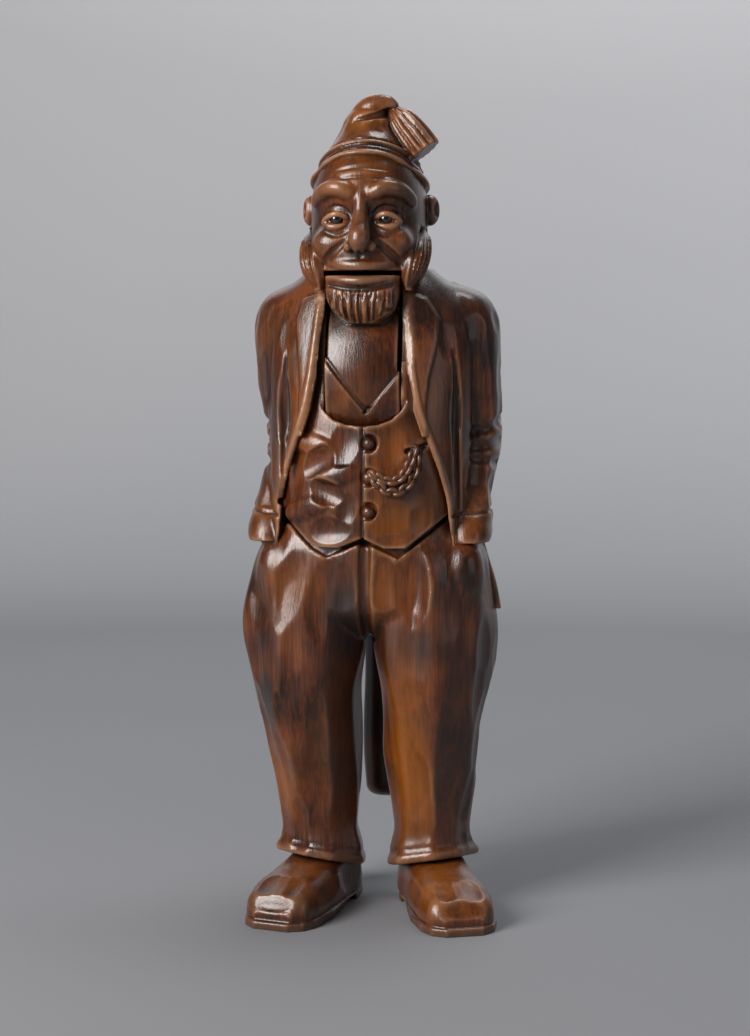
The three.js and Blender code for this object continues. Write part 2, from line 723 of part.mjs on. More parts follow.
function cap() {
  const lean = Math.tan(radians(CAP_TILT));
  const band = HEAD_HALF_WIDTH + CAP_THICKNESS;
  const bandDepth = (FACE_DEPTH + NAPE_DEPTH) / 2 + CAP_THICKNESS;
  const rise = CAP_FOLD_LEVEL - CAP_BAND_LEVEL;
  const crown = (share, wide, deep) => ({
    y: capAxis + share * rise * lean * (1 - share),
    z: CAP_BAND_LEVEL + share * rise,
    wide: band * wide,
    front: bandDepth * deep,
  });
  const body = sweep(
    [
      { ...crown(0, 1, 1), z: CAP_BACK_LEVEL },
      crown(-0.09, 1, 1),
      crown(0.12, 0.93, 0.97),
      crown(0.4, 0.74, 0.86),
      crown(0.65, 0.55, 0.58),
      crown(0.86, 0.42, 0.4),
      crown(0.99, 0.3, 0.28),
    ],
    { rings: 12, sides: 22 },
  );
  // The lower edge runs down from the brow, over the ears, to the nape.
  const edge = (back, rise) => [capAxis + bandDepth * back, mix(CAP_BACK_LEVEL, CAP_FRONT_LEVEL, rise)];
  const below = sideSlab(
    [
      edge(2, -2),
      edge(2, 0),
      edge(1, 0),
      edge(0.55, 0.27),
      edge(0.22, 0.38),
      edge(-0.22, 0.53),
      edge(-0.56, 0.73),
      edge(-0.8, 0.9),
      edge(-0.96, 1),
      edge(-2, 1.12),
      edge(-2, -2),
    ],
    FAR,
  );
  const bend = (across, drop, size) => ({
    x: CAP_TIP_RADIUS * across,
    y: capAxis - CAP_TIP_RADIUS * 0.4,
    z: CAP_FOLD_LEVEL - CAP_TIP_RADIUS * drop,
    wide: CAP_TIP_RADIUS * size,
    front: CAP_TIP_RADIUS * size,
  });
  const fold = sweep(
    [bend(-0.35, 1.2, 0.9), bend(0.1, 0.2, 1.04), bend(0.85, 0, 0.96), bend(1.5, 0.3, 0.7), bend(1.9, 0.7, 0.5)],
    { rings: 10, sides: 14, across: Y_AXIS },
  );
  return join(cut(body, below), fold);
}

function tassel() {
  const tip = CAP_TIP_RADIUS;
  const start = new THREE.Vector3(tip * 1.6, capAxis - tip * 0.45, CAP_FOLD_LEVEL - tip * 0.2);
  const run = new THREE.Vector3(0.63, -0.08, -0.77).normalize().multiplyScalar(TASSEL_LENGTH);
  const station = (share, size) => {
    const { x, y, z } = start.clone().addScaledVector(run, share);
    return { x, y, z, wide: TASSEL_RADIUS * size, front: TASSEL_RADIUS * size };
  };
  return sweep([station(0, 0.45), station(0.25, 0.8), station(0.65, 1), station(0.92, 0.97), station(1, 0.75)], {
    rings: 8,
    sides: 14,
    across: Y_AXIS,
  });
}

// Slot for the jaw lever: a turned pocket for the shirt front, the mouth, the way out at the back,
// and room for the hub.
const shirtRadius = (x) => SHIRT_RADIUS - SHIRT_CROWN * (x / JAW_HALF_WIDTH) ** 2;

function slot() {
  const { y, z } = PIVOT;
  const low = z - SHIRT_RADIUS - CLEARANCE;
  const round = turnedOnPivot((x) => shirtRadius(x) + 2 * CLEARANCE, SLOT_HALF_WIDTH, 6, 48);
  const beforePin = sideSlab(
    [
      [-FAR, low - 1],
      [y, low - 1],
      [y, z],
      [-FAR, z],
    ],
    FAR,
  );
  const mouth = sideSlab(
    [
      [-FAR, z - 1],
      [y, z - 1],
      [mouthBack(), MOUTH_LEVEL],
      [-FAR, MOUTH_LEVEL],
    ],
    SLOT_HALF_WIDTH,
  );
  const back = sideSlab(
    [
      [y - 1, low],
      [FAR, low],
      [FAR, z + SLOT_BACK_RISE],
      [y - 1, z + SLOT_BACK_RISE],
    ],
    SLOT_HALF_WIDTH,
  );
  const hubRoom = turnedOnPivot(() => HUB_RADIUS + 2 * CLEARANCE, SLOT_HALF_WIDTH, 1, 24);
  return join(round.intersect(beforePin), mouth, back, hubRoom);
}

// The back of the mouth, and the back of the lip that keeps a nut in it.
const mouthBack = () => PIVOT_SETBACK - HUB_RADIUS * 0.67;
const jawFront = () => faceFront(0.27);
const lipBack = () => jawFront() - BEARD_DEPTH * 0.4 + LIP_THICKNESS;

// The waistcoat's round neckline, below the shirt front.
function neckline() {
  const bottom = topButtonLevel() + BUTTON_RADIUS + NECKLINE_BAND;
  const [side, top] = [NECKLINE_HALF_WIDTH, CHEST_LEVEL];
  const turn = mix(bottom, top, 0.15);
  const scoop = new THREE.Shape();
  scoop.moveTo(side, top);
  scoop.lineTo(-side, top);
  scoop.bezierCurveTo(-side, turn, -side * 0.6, bottom, 0, bottom);
  scoop.bezierCurveTo(side * 0.6, bottom, side, turn, side, top);
  const shirtSides = turnedOnPivot(() => SHIRT_RADIUS - SHIRT_CROWN - CLEARANCE, side + 1, 1, 48);
  return cut(frontSlab(scoop, -BELLY_DEPTH * 0.5), shirtSides);
}

// Buttons
const buttonSeat = -BELLY_DEPTH - CLEARANCE / 2;

// The top button's shank passes below the round pocket that the shirt front turns in.
function topButtonLevel() {
  const tail = PIVOT_SETBACK - buttonSeat - BUTTON_SHANK_LENGTH;
  const pocket = SHIRT_RADIUS + 2 * CLEARANCE;
  return PIVOT_LEVEL - Math.sqrt(pocket ** 2 - tail ** 2) - BUTTON_SHANK_RADIUS - BUTTON_MARGIN;
}

function buttonPlaces() {
  return [0, 1, 2].map((i) => {
    const z = topButtonLevel() - i * BUTTON_PITCH;
    const share = THREE.MathUtils.clamp((z - BELLY_LEVEL) / (CHEST_LEVEL - BELLY_LEVEL), 0, 1);
    return new THREE.Vector3(BUTTON_OFFSET, buttonSeat + BELLY_DEPTH * 0.06 * share, z);
  });
}

function button(place) {
  const rim = BUTTON_RADIUS;
  return turnedPeg(
    [
      [0, -BUTTON_SHANK_LENGTH],
      [BUTTON_SHANK_RADIUS, -BUTTON_SHANK_LENGTH],
      [BUTTON_SHANK_RADIUS, 0],
      [rim, 0.1],
      [rim * 0.9, rim * 0.45],
      [rim * 0.5, rim * 0.8],
      [0, rim * 0.9],
    ],
    place,
  );
}

function buttonHole(place) {
  const shank = BUTTON_SHANK_RADIUS + CLEARANCE;
  const rim = BUTTON_RADIUS + CLEARANCE;
  return turnedPeg(
    [
      [0, -BUTTON_SHANK_LENGTH - CLEARANCE],
      [shank, -BUTTON_SHANK_LENGTH - CLEARANCE],
      [shank, -CLEARANCE],
      [rim, -CLEARANCE],
      [rim, FAR],
      [0, FAR],
    ],
    place,
  );
}

// Eyes
const eyePlace = (side) => new THREE.Vector3(side * EYE_SPREAD, faceFront(0.113), EYE_LEVEL);

function eye(side) {
  const r = EYE_RADIUS;
  return turnedPeg(
    [
      [0, -EYE_PEG_LENGTH],
      [r, -EYE_PEG_LENGTH],
      [r, 0],
      [r * 0.85, r * 0.3],
      [r * 0.5, r * 0.5],
      [0, r * 0.58],
    ],
    eyePlace(side),
  );
}

function eyeHole(side) {
  const r = EYE_RADIUS + CLEARANCE;
  const depth = EYE_PEG_LENGTH + CLEARANCE;
  return turnedPeg(
    [
      [0, -depth],
      [r, -depth],
      [r, FAR],
      [0, FAR],
    ],
    eyePlace(side),
  );
}

const pinHole = () => turnedOnPivot(() => PIN_RADIUS + CLEARANCE, FAR, 1, 20);

// The figure
function figureBody() {
  const block = join(
    hips(),
    both(trouserLeg),
    both(shoe),
    waistcoat(),
    coat(),
    both(lapel),
    both(sleeve),
    both(pocketBulge),
    watchChain(),
    cut(join(skull(), both(whiskers)), both(eyeSocket)),
    faceFeatures(),
    cap(),
    tassel(),
  );
  return cut(block, slot(), neckline(), pinHole(), buttonPlaces().map(buttonHole), both(eyeHole));
}

// The jaw lever: shirt front, beard and nut floor before the pin, handle behind it.
function jawLever() {
  const { y, z } = PIVOT;
  const floor = JAW_TOP - NUT_FLOOR_DROP;
  const shirt = turnedOnPivot(shirtRadius, JAW_HALF_WIDTH, 6, 48).intersect(
    sideSlab(
      [
        [y + HUB_RADIUS * 0.2, z - HUB_RADIUS],
        [y - SHIRT_RADIUS * 0.75, z - SHIRT_RADIUS * 0.9],
        [y - FAR, z],
        [y - SHIRT_RADIUS, floor],
        [mix(y, mouthBack(), 0.9), floor],
        [y, z],
      ],
      FAR,
    ),
  );
  const block = sideSlab(
    [
      [y, z],
      [jawFront(), JAW_TOP - BEARD_LENGTH],
      [jawFront(), floor],
      [mix(y, mouthBack(), 0.9) - MOUTH_GAP, floor],
    ],
    JAW_HALF_WIDTH,
  );
  const chin = (drop, wide, front) => ({
    y: jawFront(),
    z: JAW_TOP - BEARD_LENGTH * drop,
    wide: JAW_HALF_WIDTH * wide,
    front: BEARD_DEPTH * front,
    back: BEARD_DEPTH * 0.4,
    power: 2.6,
  });
  const beard = sweep(
    [chin(1, 0.5, 0.3), chin(0.75, 0.87, 0.57), chin(0.4, 1, 0.62), chin(0.15, 1, 0.47), chin(0, 1, 0.45)],
    { rings: 10, sides: 20 },
  );
  const nutSpace = sideSlab(
    [
      [lipBack(), floor],
      [FAR, floor],
      [FAR, MOUTH_LEVEL],
      [lipBack(), MOUTH_LEVEL],
    ],
    FAR,
  );
  const hub = turnedOnPivot(() => HUB_RADIUS, JAW_HALF_WIDTH, 1, 24);
  const [width, depth] = [HANDLE_HALF_WIDTH, HANDLE_HALF_DEPTH];
  const grip = (back, drop, wide, thick) => ({
    y: mix(y, HANDLE_SETBACK, back),
    z: mix(z, HANDLE_END_LEVEL, drop),
    wide,
    front: depth * thick,
    power: 3,
  });
  const handle = sweep(
    [
      grip(0.07, 0.01, JAW_HALF_WIDTH, 1.55),
      grip(0.6, 0.08, JAW_HALF_WIDTH * 0.96, 1.45),
      grip(0.9, 0.21, mix(JAW_HALF_WIDTH, width, 0.7), 1.18),
      grip(1, 0.41, width * 1.03, 1),
      grip(1, 0.7, width, 0.96),
      grip(0.94, 0.966, width * 0.98, 0.9),
      grip(0.92, 1, width * 0.55, 0.6),
    ],
    { rings: 18, sides: 16 },
  );
  return cut(join(shirt, block, cut(beard, nutSpace), hub, handle), pinHole());
}

// Stains and finishes
const stain = (color, roughness) => new THREE.MeshStandardMaterial({ color, roughness, metalness: 0 });
const figureWood = stain(0x5f3318, 0.34);
const jawWood = stain(0x4d2a17, 0.34);
const buttonWood = stain(0x3a1f12, 0.25);
const eyeGlass = stain(0x0c0a09, 0.1);
const pinSteel = new THREE.MeshStandardMaterial({ color: 0x8d8a86, roughness: 0.4, metalness: 1 });

function meshOf(name, form, material) {
  const { vertProperties, triVerts } = form.getMesh();
  const geometry = new THREE.BufferGeometry();
  geometry.setAttribute("position", new THREE.BufferAttribute(vertProperties, 3));
  geometry.setIndex(new THREE.BufferAttribute(triVerts, 1));
  geometry.computeVertexNormals();
  const mesh = new THREE.Mesh(geometry, material);
  mesh.name = name;
  return mesh;
}

const figure = new THREE.Group();
figure.add(meshOf("figure_body", figureBody(), figureWood));
figure.add(meshOf("pivot_pin", turnedOnPivot(() => PIN_RADIUS, PIN_LENGTH / 2, 1, 20), pinSteel));
["top", "middle", "bottom"].forEach((where, i) =>
  figure.add(meshOf(`${where}_button`, button(buttonPlaces()[i]), buttonWood)),
);
SIDES.forEach((side) => figure.add(meshOf(side < 0 ? "right_eye" : "left_eye", eye(side), eyeGlass)));

const lever = new THREE.Group();
lever.add(meshOf("jaw_lever", jawLever(), jawWood));

// The origin is on the floor, under the middle of the figure with its handle.
const nutcracker = new THREE.Group();
const standing = new THREE.Group();
standing.add(figure, lever);
const reach = new THREE.Box3().setFromObject(standing);
standing.position.x = -(reach.min.x + reach.max.x) / 2;
standing.position.y = -(reach.min.y + reach.max.y) / 2;
nutcracker.add(standing);

export default nutcracker;
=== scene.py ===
"""Dresses the solids of a carved wooden nutcracker.

Each wooden piece is carved in a grid of distances, in millimetres, as a carver works: forms are
built up, blended and cut away, then facets, gouge cuts and hair are put in, and the surface is
meshed. The figure's frame has its middle at x = 0 and y = 0, faces -Y and stands on z = 0.
"""

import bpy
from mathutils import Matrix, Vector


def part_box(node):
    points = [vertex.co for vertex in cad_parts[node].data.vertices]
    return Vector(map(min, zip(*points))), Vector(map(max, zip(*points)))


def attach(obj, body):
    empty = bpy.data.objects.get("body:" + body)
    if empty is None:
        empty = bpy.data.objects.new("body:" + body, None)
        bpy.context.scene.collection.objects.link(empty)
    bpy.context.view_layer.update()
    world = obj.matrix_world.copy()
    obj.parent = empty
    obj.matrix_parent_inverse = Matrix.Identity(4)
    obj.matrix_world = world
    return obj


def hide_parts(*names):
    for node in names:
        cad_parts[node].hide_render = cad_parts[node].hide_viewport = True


bl_info = {
    "name": "Carved nutcracker",
    "version": (1, 0, 0),
    "blender": (4, 5, 0),
    "location": "View3D > Sidebar > Nutcracker",
    "description": "Carves, stains and stages a wooden lever nutcracker",
    "category": "Object",
}

import math
from collections import namedtuple

import bpy
import numpy as np
from bpy.props import FloatProperty, FloatVectorProperty, IntProperty, PointerProperty
from mathutils import Vector

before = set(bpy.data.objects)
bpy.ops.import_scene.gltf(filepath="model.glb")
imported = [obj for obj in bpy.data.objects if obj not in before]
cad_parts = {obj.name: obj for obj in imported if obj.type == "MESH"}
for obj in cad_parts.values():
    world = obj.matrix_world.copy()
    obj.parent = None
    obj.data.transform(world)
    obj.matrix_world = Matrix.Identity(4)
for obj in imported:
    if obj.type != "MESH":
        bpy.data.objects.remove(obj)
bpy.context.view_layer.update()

# The pin joins the two frames: the carving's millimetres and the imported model's metres.
MM = 1000.0
PIN_LOW, PIN_HIGH = (np.array(corner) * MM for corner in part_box("pivot_pin"))
PIVOT = np.array([0.0, 5.0, 137.0])
OFFSET = (PIN_LOW + PIN_HIGH) / 2 - PIVOT

SIDES = (-1, 1)
UP = (0.0, 0.0, 1.0)
BACKWARD = (0.0, 1.0, 0.0)
FORWARD = (0.0, -1.0, 0.0)
# Places beyond the figure, and how far off a line starts that is brought onto its surface.
FAR = 60.0
BEFORE = -40.0
STAND_OFF = 45.0
# Distance given to cells that no form reaches.
OUTSIDE = 6.0
# Powers of rounded sections: 2 is an ellipse, more is squarer.
ROUND = 2.2
SLEEVE_ROUND = 2.3
HANDLE_ROUND = 2.6
# A leg's flats lie this share of its half width from its middle, with ridges of this power.
FLAT_SHARE = 0.995
FLAT_POWER = 24
# Least share of a section, so that no distance is divided by nothing.
LEAST_SHARE = 0.02
# How far round a place the wood is weighed for wear and for the darkening of hollows, which is
# gathered stain and painted shade, and how deep. Each then grows with the bend of the surface at
# its own rate, from its own start.
RUB_REACH = 1.1
RUB_DEPTH = 1.2
WEAR_RATE, WEAR_START = 4.2, 0.28
STAIN_AND_SHADE_RATE, STAIN_AND_SHADE_START = 3.6, 0.12
MOST_STAIN_AND_SHADE = 0.9

CLEARANCE = 0.3
BORE_RADIUS = 2.3
SLOT_HALF_WIDTH = 9.5
JAW_HALF_WIDTH = 9.2
SHIRT_RADIUS = 25.0
SHIRT_CROWN = 1.4
MOUTH_LEVEL = 162.0
JAW_TOP = 160.8
NUT_FLOOR = 153.8
LIP_BACK = -14.9
HUB_RADIUS = 9.0
SLOT_RISE = 11.5
MOUTH_BACK = PIVOT[1] - HUB_RADIUS * 0.67

# Level, middle across, middle back, half width, depth before, depth behind.
TORSO = (
    (80, 0, 0, 24.4, 16.6, 18.6),
    (94, 0, 0, 24.6, 19.1, 18.4),
    (108, 0.3, 0, 24.4, 20.0, 18.2),
    (122, 0.5, 0, 24.2, 19.4, 18.8),
    (136, 0.5, 0, 24.6, 17.6, 19.2),
    (150, 0.5, 0, 23.4, 14.2, 18.2),
    (157.8, 0.3, 0, 18.5, 11.2, 14.7),
    (163, 0, 0, 13.2, 8.0, 11.5),
)
COAT_THICKNESS = 2.2
COAT_EDGE = (
    (10.4, 172), (10.4, 154), (11.2, 145), (12.2, 136), (13.8, 128), (15.8, 122), (18.8, 113.3),
    (20.6, 106), (21.2, 100), (22.0, 94),
)
BUTTON_LEVELS = (119.95, 111.55, 103.15)
BUTTON_ACROSS = 1.8

Form = namedtuple("Form", "low high distance")
carved = {}


def flowing(knots, values, at):
    """Values at places along a smooth curve through knots."""
    knots, values = np.asarray(knots, float), np.asarray(values, float)
    slopes = np.gradient(values, knots)
    i = np.clip(np.searchsorted(knots, at) - 1, 0, len(knots) - 2)
    step = knots[i + 1] - knots[i]
    t = np.clip((at - knots[i]) / step, 0, 1)
    a, b, leave, arrive = values[i], values[i + 1], slopes[i] * step, slopes[i + 1] * step
    bend = 3 * (b - a) - 2 * leave - arrive + t * (2 * (a - b) + leave + arrive)
    return (a + t * (leave + t * bend)).astype(np.float32)


def curve(points, spacing=1.0):
    """Points at even steps along a smooth curve through a few points."""
    points = np.asarray(points, float)
    runs = np.linalg.norm(np.diff(points, axis=0), axis=1)
    knots = np.concatenate([[0], np.cumsum(runs)])
    at = np.linspace(0, knots[-1], max(int(knots[-1] / spacing), 2) + 1)
    return np.stack([flowing(knots, points[:, i], at) for i in range(points.shape[1])], axis=1)


def soft_min(a, b, blend):
    """The lesser of two distances, rounded off where they are close."""
    if not blend:
        return np.minimum(a, b)
    near = np.maximum(blend - np.abs(a - b), 0)
    return np.minimum(a, b) - near * near / (4 * blend)


def soft_max(a, b, blend):
    """The greater of two distances, rounded off where they are close."""
    return -soft_min(-a, -b, blend)


def unit(v):
    """A direction of length 1."""
    v = np.asarray(v, float)
    return v / np.linalg.norm(v)


def along_axis(axis, x, y, z):
    """How far places lie along a direction."""
    return axis[0] * x + axis[1] * y + axis[2] * z


def laid(normal, along):
    """Directions along, across and out of a surface."""
    normal = unit(normal)
    along = unit(np.asarray(along) - normal * np.dot(along, normal))
    return along, np.cross(normal, along), normal


def within(low, high, distance):
    """A form that lies inside a box."""
    return Form(np.array(low, float), np.array(high, float), distance)


def egg(centre, radii, turn=None):
    """An egg; turn's rows are the directions that its three half sizes lie along."""
    centre, radii = np.asarray(centre, np.float32), np.asarray(radii, np.float32)
    axes = np.eye(3, dtype=np.float32) if turn is None else np.asarray(turn, np.float32)
    reach = np.sqrt((axes**2 * (radii**2)[:, None]).sum(0))

    def distance(x, y, z):
        x, y, z = x - centre[0], y - centre[1], z - centre[2]
        parts = (x, y, z) if turn is None else [along_axis(a, x, y, z) for a in axes]
        near = sum((p / r) ** 2 for p, r in zip(parts, radii))
        steep = sum((p / (r * r)) ** 2 for p, r in zip(parts, radii))
        near = np.sqrt(near)
        return near * (near - 1) / np.sqrt(np.maximum(steep, 1e-8))

    return Form(centre - reach, centre + reach, distance)


def capsule(a, b, radius_a, radius_b):
    """A rod with round ends."""
    a, b = np.asarray(a, np.float32), np.asarray(b, np.float32)
    run = b - a
    length = max(float(run @ run), 1e-6)
    radius = max(radius_a, radius_b)

    def distance(x, y, z):
        x, y, z = x - a[0], y - a[1], z - a[2]
        t = np.clip((x * run[0] + y * run[1] + z * run[2]) / length, 0, 1)
        gap = np.sqrt((x - t * run[0]) ** 2 + (y - t * run[1]) ** 2 + (z - t * run[2]) ** 2)
        return gap - (radius_a + (radius_b - radius_a) * t)

    return Form(np.minimum(a, b) - radius, np.maximum(a, b) + radius, distance)


def loft(stations, power=ROUND, grow=0.0, place=None, box=None, facets=None):
    """A form through stations along z; place maps the grid to the loft's own coordinates.

    facets, a count and a turn, shaves it into long flats with softened ridges.
    """
    table = np.asarray(stations, np.float32)
    levels = table[:, 0]

    def distance(x, y, z):
        if place:
            x, y, z = place(x, y, z)
        at = np.clip(z, levels[0], levels[-1])
        middle, back, wide, before, behind = (flowing(levels, table[:, i], at) for i in range(1, 6))
        across, deep = x - middle, y - back
        u = np.abs(across) / (wide + grow)
        v = np.abs(deep) / (np.where(deep < 0, before, behind) + grow)
        if facets:
            share = shaved(u * np.sign(across), v * np.sign(deep), at, *facets)
        else:
            share = (u**power + v**power) ** (1 / power)
        size = np.maximum(np.sqrt(across * across + deep * deep), LEAST_SHARE * wide)
        side = size * (1 - 1 / np.maximum(share, LEAST_SHARE))
        return np.maximum(side, np.maximum(levels[0] - z, z - levels[-1]))

    if box is None:
        middle, back, wide, before, behind = (table[:, i] for i in range(1, 6))
        low = [(middle - wide).min() - grow, (back - before).min() - grow, levels[0]]
        high = [(middle + wide).max() + grow, (back + behind).max() + grow, levels[-1]]
        box = (low, high)
    return within(*box, distance)


def shaved(u, v, level, count, turn):
    """How far out a place lies, on a section of long flats that wander a little up the leg."""
    total = 0
    wander = 0.16 * np.sin(level / 9.0 + 5 * turn)
    for i in range(count):
        angle = 2 * math.pi * (i + 0.5 + turn + wander * math.sin(2.4 * i + 1)) / count
        total = total + np.maximum(u * np.cos(angle) + v * np.sin(angle), 0) ** FLAT_POWER
    return total ** (1 / FLAT_POWER) / FLAT_SHARE


def outline_distance(points, u, v):
    """Distance to a closed outline, less than 0 inside it."""
    gap = np.full(np.broadcast(u, v).shape, 1e6, np.float32)
    inside = np.zeros(gap.shape, bool)
    for (ax, ay), (bx, by) in zip(points, points[1:] + points[:1]):
        run_x, run_y = bx - ax, by - ay
        t = np.clip(((u - ax) * run_x + (v - ay) * run_y) / max(run_x**2 + run_y**2, 1e-9), 0, 1)
        gap = np.minimum(gap, (u - ax - t * run_x) ** 2 + (v - ay - t * run_y) ** 2)
        crosses = (v < ay) != (v < by)
        slope = run_x / run_y if run_y else 0.0
        inside ^= crosses & (u < ax + (v - ay) * slope)
    return np.where(inside, -1, 1) * np.sqrt(gap)


def front_slab(outline, near, far):
    """An outline in x and z, cut between two distances back."""
    points = [tuple(map(float, p)) for p in outline]
    across, level = zip(*points)

    def distance(x, y, z):
        return np.maximum(outline_distance(points, x, z), np.maximum(near - y, y - far))

    return within((min(across), near, min(level)), (max(across), far, max(level)), distance)


def side_slab(outline, half_width):
    """An outline in y and z, cut across the figure."""
    points = [tuple(map(float, p)) for p in outline]
    back, level = zip(*points)

    def distance(x, y, z):
        return np.maximum(outline_distance(points, y, z), np.abs(x) - half_width)

    low, high = (-half_width, min(back), min(level)), (half_width, max(back), max(level))
    return within(low, high, distance)


def barrel(radius, crown, half_width):
    """A turned form about the pivot's line, fullest in its middle."""
    middle = PIVOT.astype(np.float32)

    def distance(x, y, z):
        round_ = np.sqrt((y - middle[1]) ** 2 + (z - middle[2]) ** 2)
        turned = round_ - (radius - crown * (x / JAW_HALF_WIDTH) ** 2)
        return np.maximum(turned, np.abs(x) - half_width)

    reach = np.array([half_width, radius, radius])
    return Form(middle - reach, middle + reach, distance)


def both_of(a, b, blend=0.0):
    """Where two forms overlap."""

    def distance(x, y, z):
        return soft_max(a.distance(x, y, z), b.distance(x, y, z), blend)

    return Form(np.maximum(a.low, b.low), np.minimum(a.high, b.high), distance)


def lever_slot():
    """The slot's forms: the shirt's pocket, the mouth, the way out at the back, the hub's room."""
    y, z = PIVOT[1:]
    low, high = z - SHIRT_RADIUS - CLEARANCE, z + SLOT_RISE
    before_pin = side_slab([(-FAR, low - 1), (y, low - 1), (y, z), (-FAR, z)], FAR)
    mouth = [(-FAR, z - 1), (y, z - 1), (MOUTH_BACK, MOUTH_LEVEL), (-FAR, MOUTH_LEVEL)]
    back = [(y - 1, low), (FAR, low), (FAR, high), (y - 1, high)]
    return (
        both_of(barrel(SHIRT_RADIUS + 2 * CLEARANCE, SHIRT_CROWN, SLOT_HALF_WIDTH), before_pin),
        side_slab(mouth, SLOT_HALF_WIDTH),
        side_slab(back, SLOT_HALF_WIDTH),
        barrel(HUB_RADIUS + 2 * CLEARANCE, 0.0, SLOT_HALF_WIDTH),
    )


def pin_bore():
    """The pin's hole across the figure."""
    return capsule((-FAR, *PIVOT[1:]), (FAR, *PIVOT[1:]), BORE_RADIUS, BORE_RADIUS)


class Block:
    """A block of wood as distances to its surface, in millimetres, on an even grid."""

    def __init__(self, low, high, step):
        self.low = np.array(low, np.float32)
        self.step = step
        counts = np.ceil((np.array(high) - self.low) / step).astype(int) + 1
        self.axes = [self.low[i] + step * np.arange(counts[i], dtype=np.float32) for i in range(3)]
        self.field = np.full(counts, OUTSIDE, np.float32)

    def window(self, low, high, margin):
        """The cells round a box, as slices and as their coordinates."""
        spans = []
        for i in range(3):
            first = int((low[i] - margin - self.low[i]) / self.step)
            last = int((high[i] + margin - self.low[i]) / self.step) + 2
            first, last = (min(max(n, 0), len(self.axes[i])) for n in (first, last))
            spans.append(slice(first, last))
        x, y, z = (axis[span] for axis, span in zip(self.axes, spans))
        return tuple(spans), x[:, None, None], y[None, :, None], z[None, None, :]

    def add(self, form, blend=0.0):
        span, x, y, z = self.window(form.low, form.high, 1.5 + blend)
        self.field[span] = soft_min(self.field[span], form.distance(x, y, z), blend)

    def cut(self, form, blend=0.0):
        span, x, y, z = self.window(form.low, form.high, 1.5 + blend)
        self.field[span] = soft_max(self.field[span], -form.distance(x, y, z), blend)

    def keep(self, form):
        x, y, z = (a.reshape(s) for a, s in zip(self.axes, ((-1, 1, 1), (1, -1, 1), (1, 1, -1))))
        self.field = np.maximum(self.field, form.distance(x, y, z))

    def lift(self, form, height, blend=0.3):
        """Raises the surface inside a form."""
        span, x, y, z = self.window(form.low, form.high, 1 + height)
        here = self.field[span]
        self.field[span] = np.minimum(here, soft_max(here - height, form.distance(x, y, z), blend))

    def sink(self, form, depth, blend=0.0):
        """Lowers the surface inside a form."""
        span, x, y, z = self.window(form.low, form.high, 1 + depth)
        here = self.field[span]
        lowered = soft_min(here + depth, -form.distance(x, y, z), blend)
        self.field[span] = np.maximum(here, lowered)

    def rope(self, points, radii, blend=0.0, cutting=False):
        """A round bead along points, added or cut away."""
        radii = np.broadcast_to(np.asarray(radii, float), len(points))
        for a, b, ra, rb in zip(points[:-1], points[1:], radii[:-1], radii[1:]):
            (self.cut if cutting else self.add)(capsule(a, b, ra, rb), blend)

    def strand(self, points, spacing, knots, radii, blend):
        """A bead through a few points, as thick at each share of its length as radii say."""
        line = curve(points, spacing)
        self.rope(line, np.interp(np.linspace(0, 1, len(line)), knots, radii), blend)

    def sample(self, points, field=None):
        """The distances, or another field on the same grid, at points."""
        field = self.field if field is None else field
        at = (np.asarray(points, np.float32) - self.low) / self.step
        at = np.clip(at, 0, np.array(field.shape) - 1.001)
        i = at.astype(int)
        t = at - i
        total = np.zeros(len(at), np.float32)
        for corner in np.ndindex(2, 2, 2):
            weight = np.prod(np.where(corner, t, 1 - t), axis=1)
            total += weight * field[tuple((i + corner).T)]
        return total

    def slope(self, points):
        """How steeply the distances grow along each axis."""
        steps = np.eye(3) * self.step
        rises = [self.sample(points + s) - self.sample(points - s) for s in steps]
        return np.stack(rises, axis=1) / (2 * self.step)

    def land(self, starts, headings, reach=90.0):
        """Where lines from outside first meet the wood, with the normals there."""
        starts = np.atleast_2d(np.asarray(starts, float))
        headings = np.broadcast_to(np.asarray(headings, float), starts.shape)
        runs = np.arange(0, reach, self.step * 0.8)
        points = starts[:, None, :] + headings[:, None, :] * runs[None, :, None]
        depth = self.sample(points.reshape(-1, 3)).reshape(len(starts), -1)
        low, high = self.low, self.low + self.step * (np.array(self.field.shape) - 1)
        depth[((points < low) | (points > high)).any(axis=2)] = OUTSIDE
        inside = depth < 0
        found = inside.any(axis=1) & ~inside[:, 0]
        first = np.maximum(inside.argmax(axis=1), 1)
        rows = np.arange(len(starts))
        a, b = depth[rows, first - 1], depth[rows, first]
        run = runs[first - 1] + (runs[first] - runs[first - 1]) * a / np.maximum(a - b, 1e-6)
        places = starts + headings * run[:, None]
        normals = self.slope(places)
        normals /= np.maximum(np.linalg.norm(normals, axis=1, keepdims=True), 1e-6)
        return places[found], normals[found]

    def trace(self, points, heading, spacing):
        """A smooth line through points, brought along heading onto the surface."""
        return self.land(curve(points, spacing) - np.array(heading) * STAND_OFF, heading)

    def groove(self, points, heading, width, depth, spacing=0.8, taper=0.0, blend=0.0):
        """A line cut along the surface, seen along heading. Its ends thin out by taper."""
        places, normals = self.trace(points, heading, spacing)
        if len(places) < 2:
            return
        thin = 1 - taper * np.abs(np.linspace(-1, 1, len(places))) ** 2
        radii = width / 2 * thin
        self.rope(places + normals * (radii - depth * thin)[:, None], radii, blend, cutting=True)

    def bead(self, points, heading, radii, sunk, spacing=0.8, blend=0.4):
        """A raised line along the surface, seen along heading."""
        places, normals = self.trace(points, heading, spacing)
        radii = np.interp(np.linspace(0, 1, len(places)), np.linspace(0, 1, len(radii)), radii)
        self.rope(places - normals * (sunk * radii)[:, None], radii, blend)

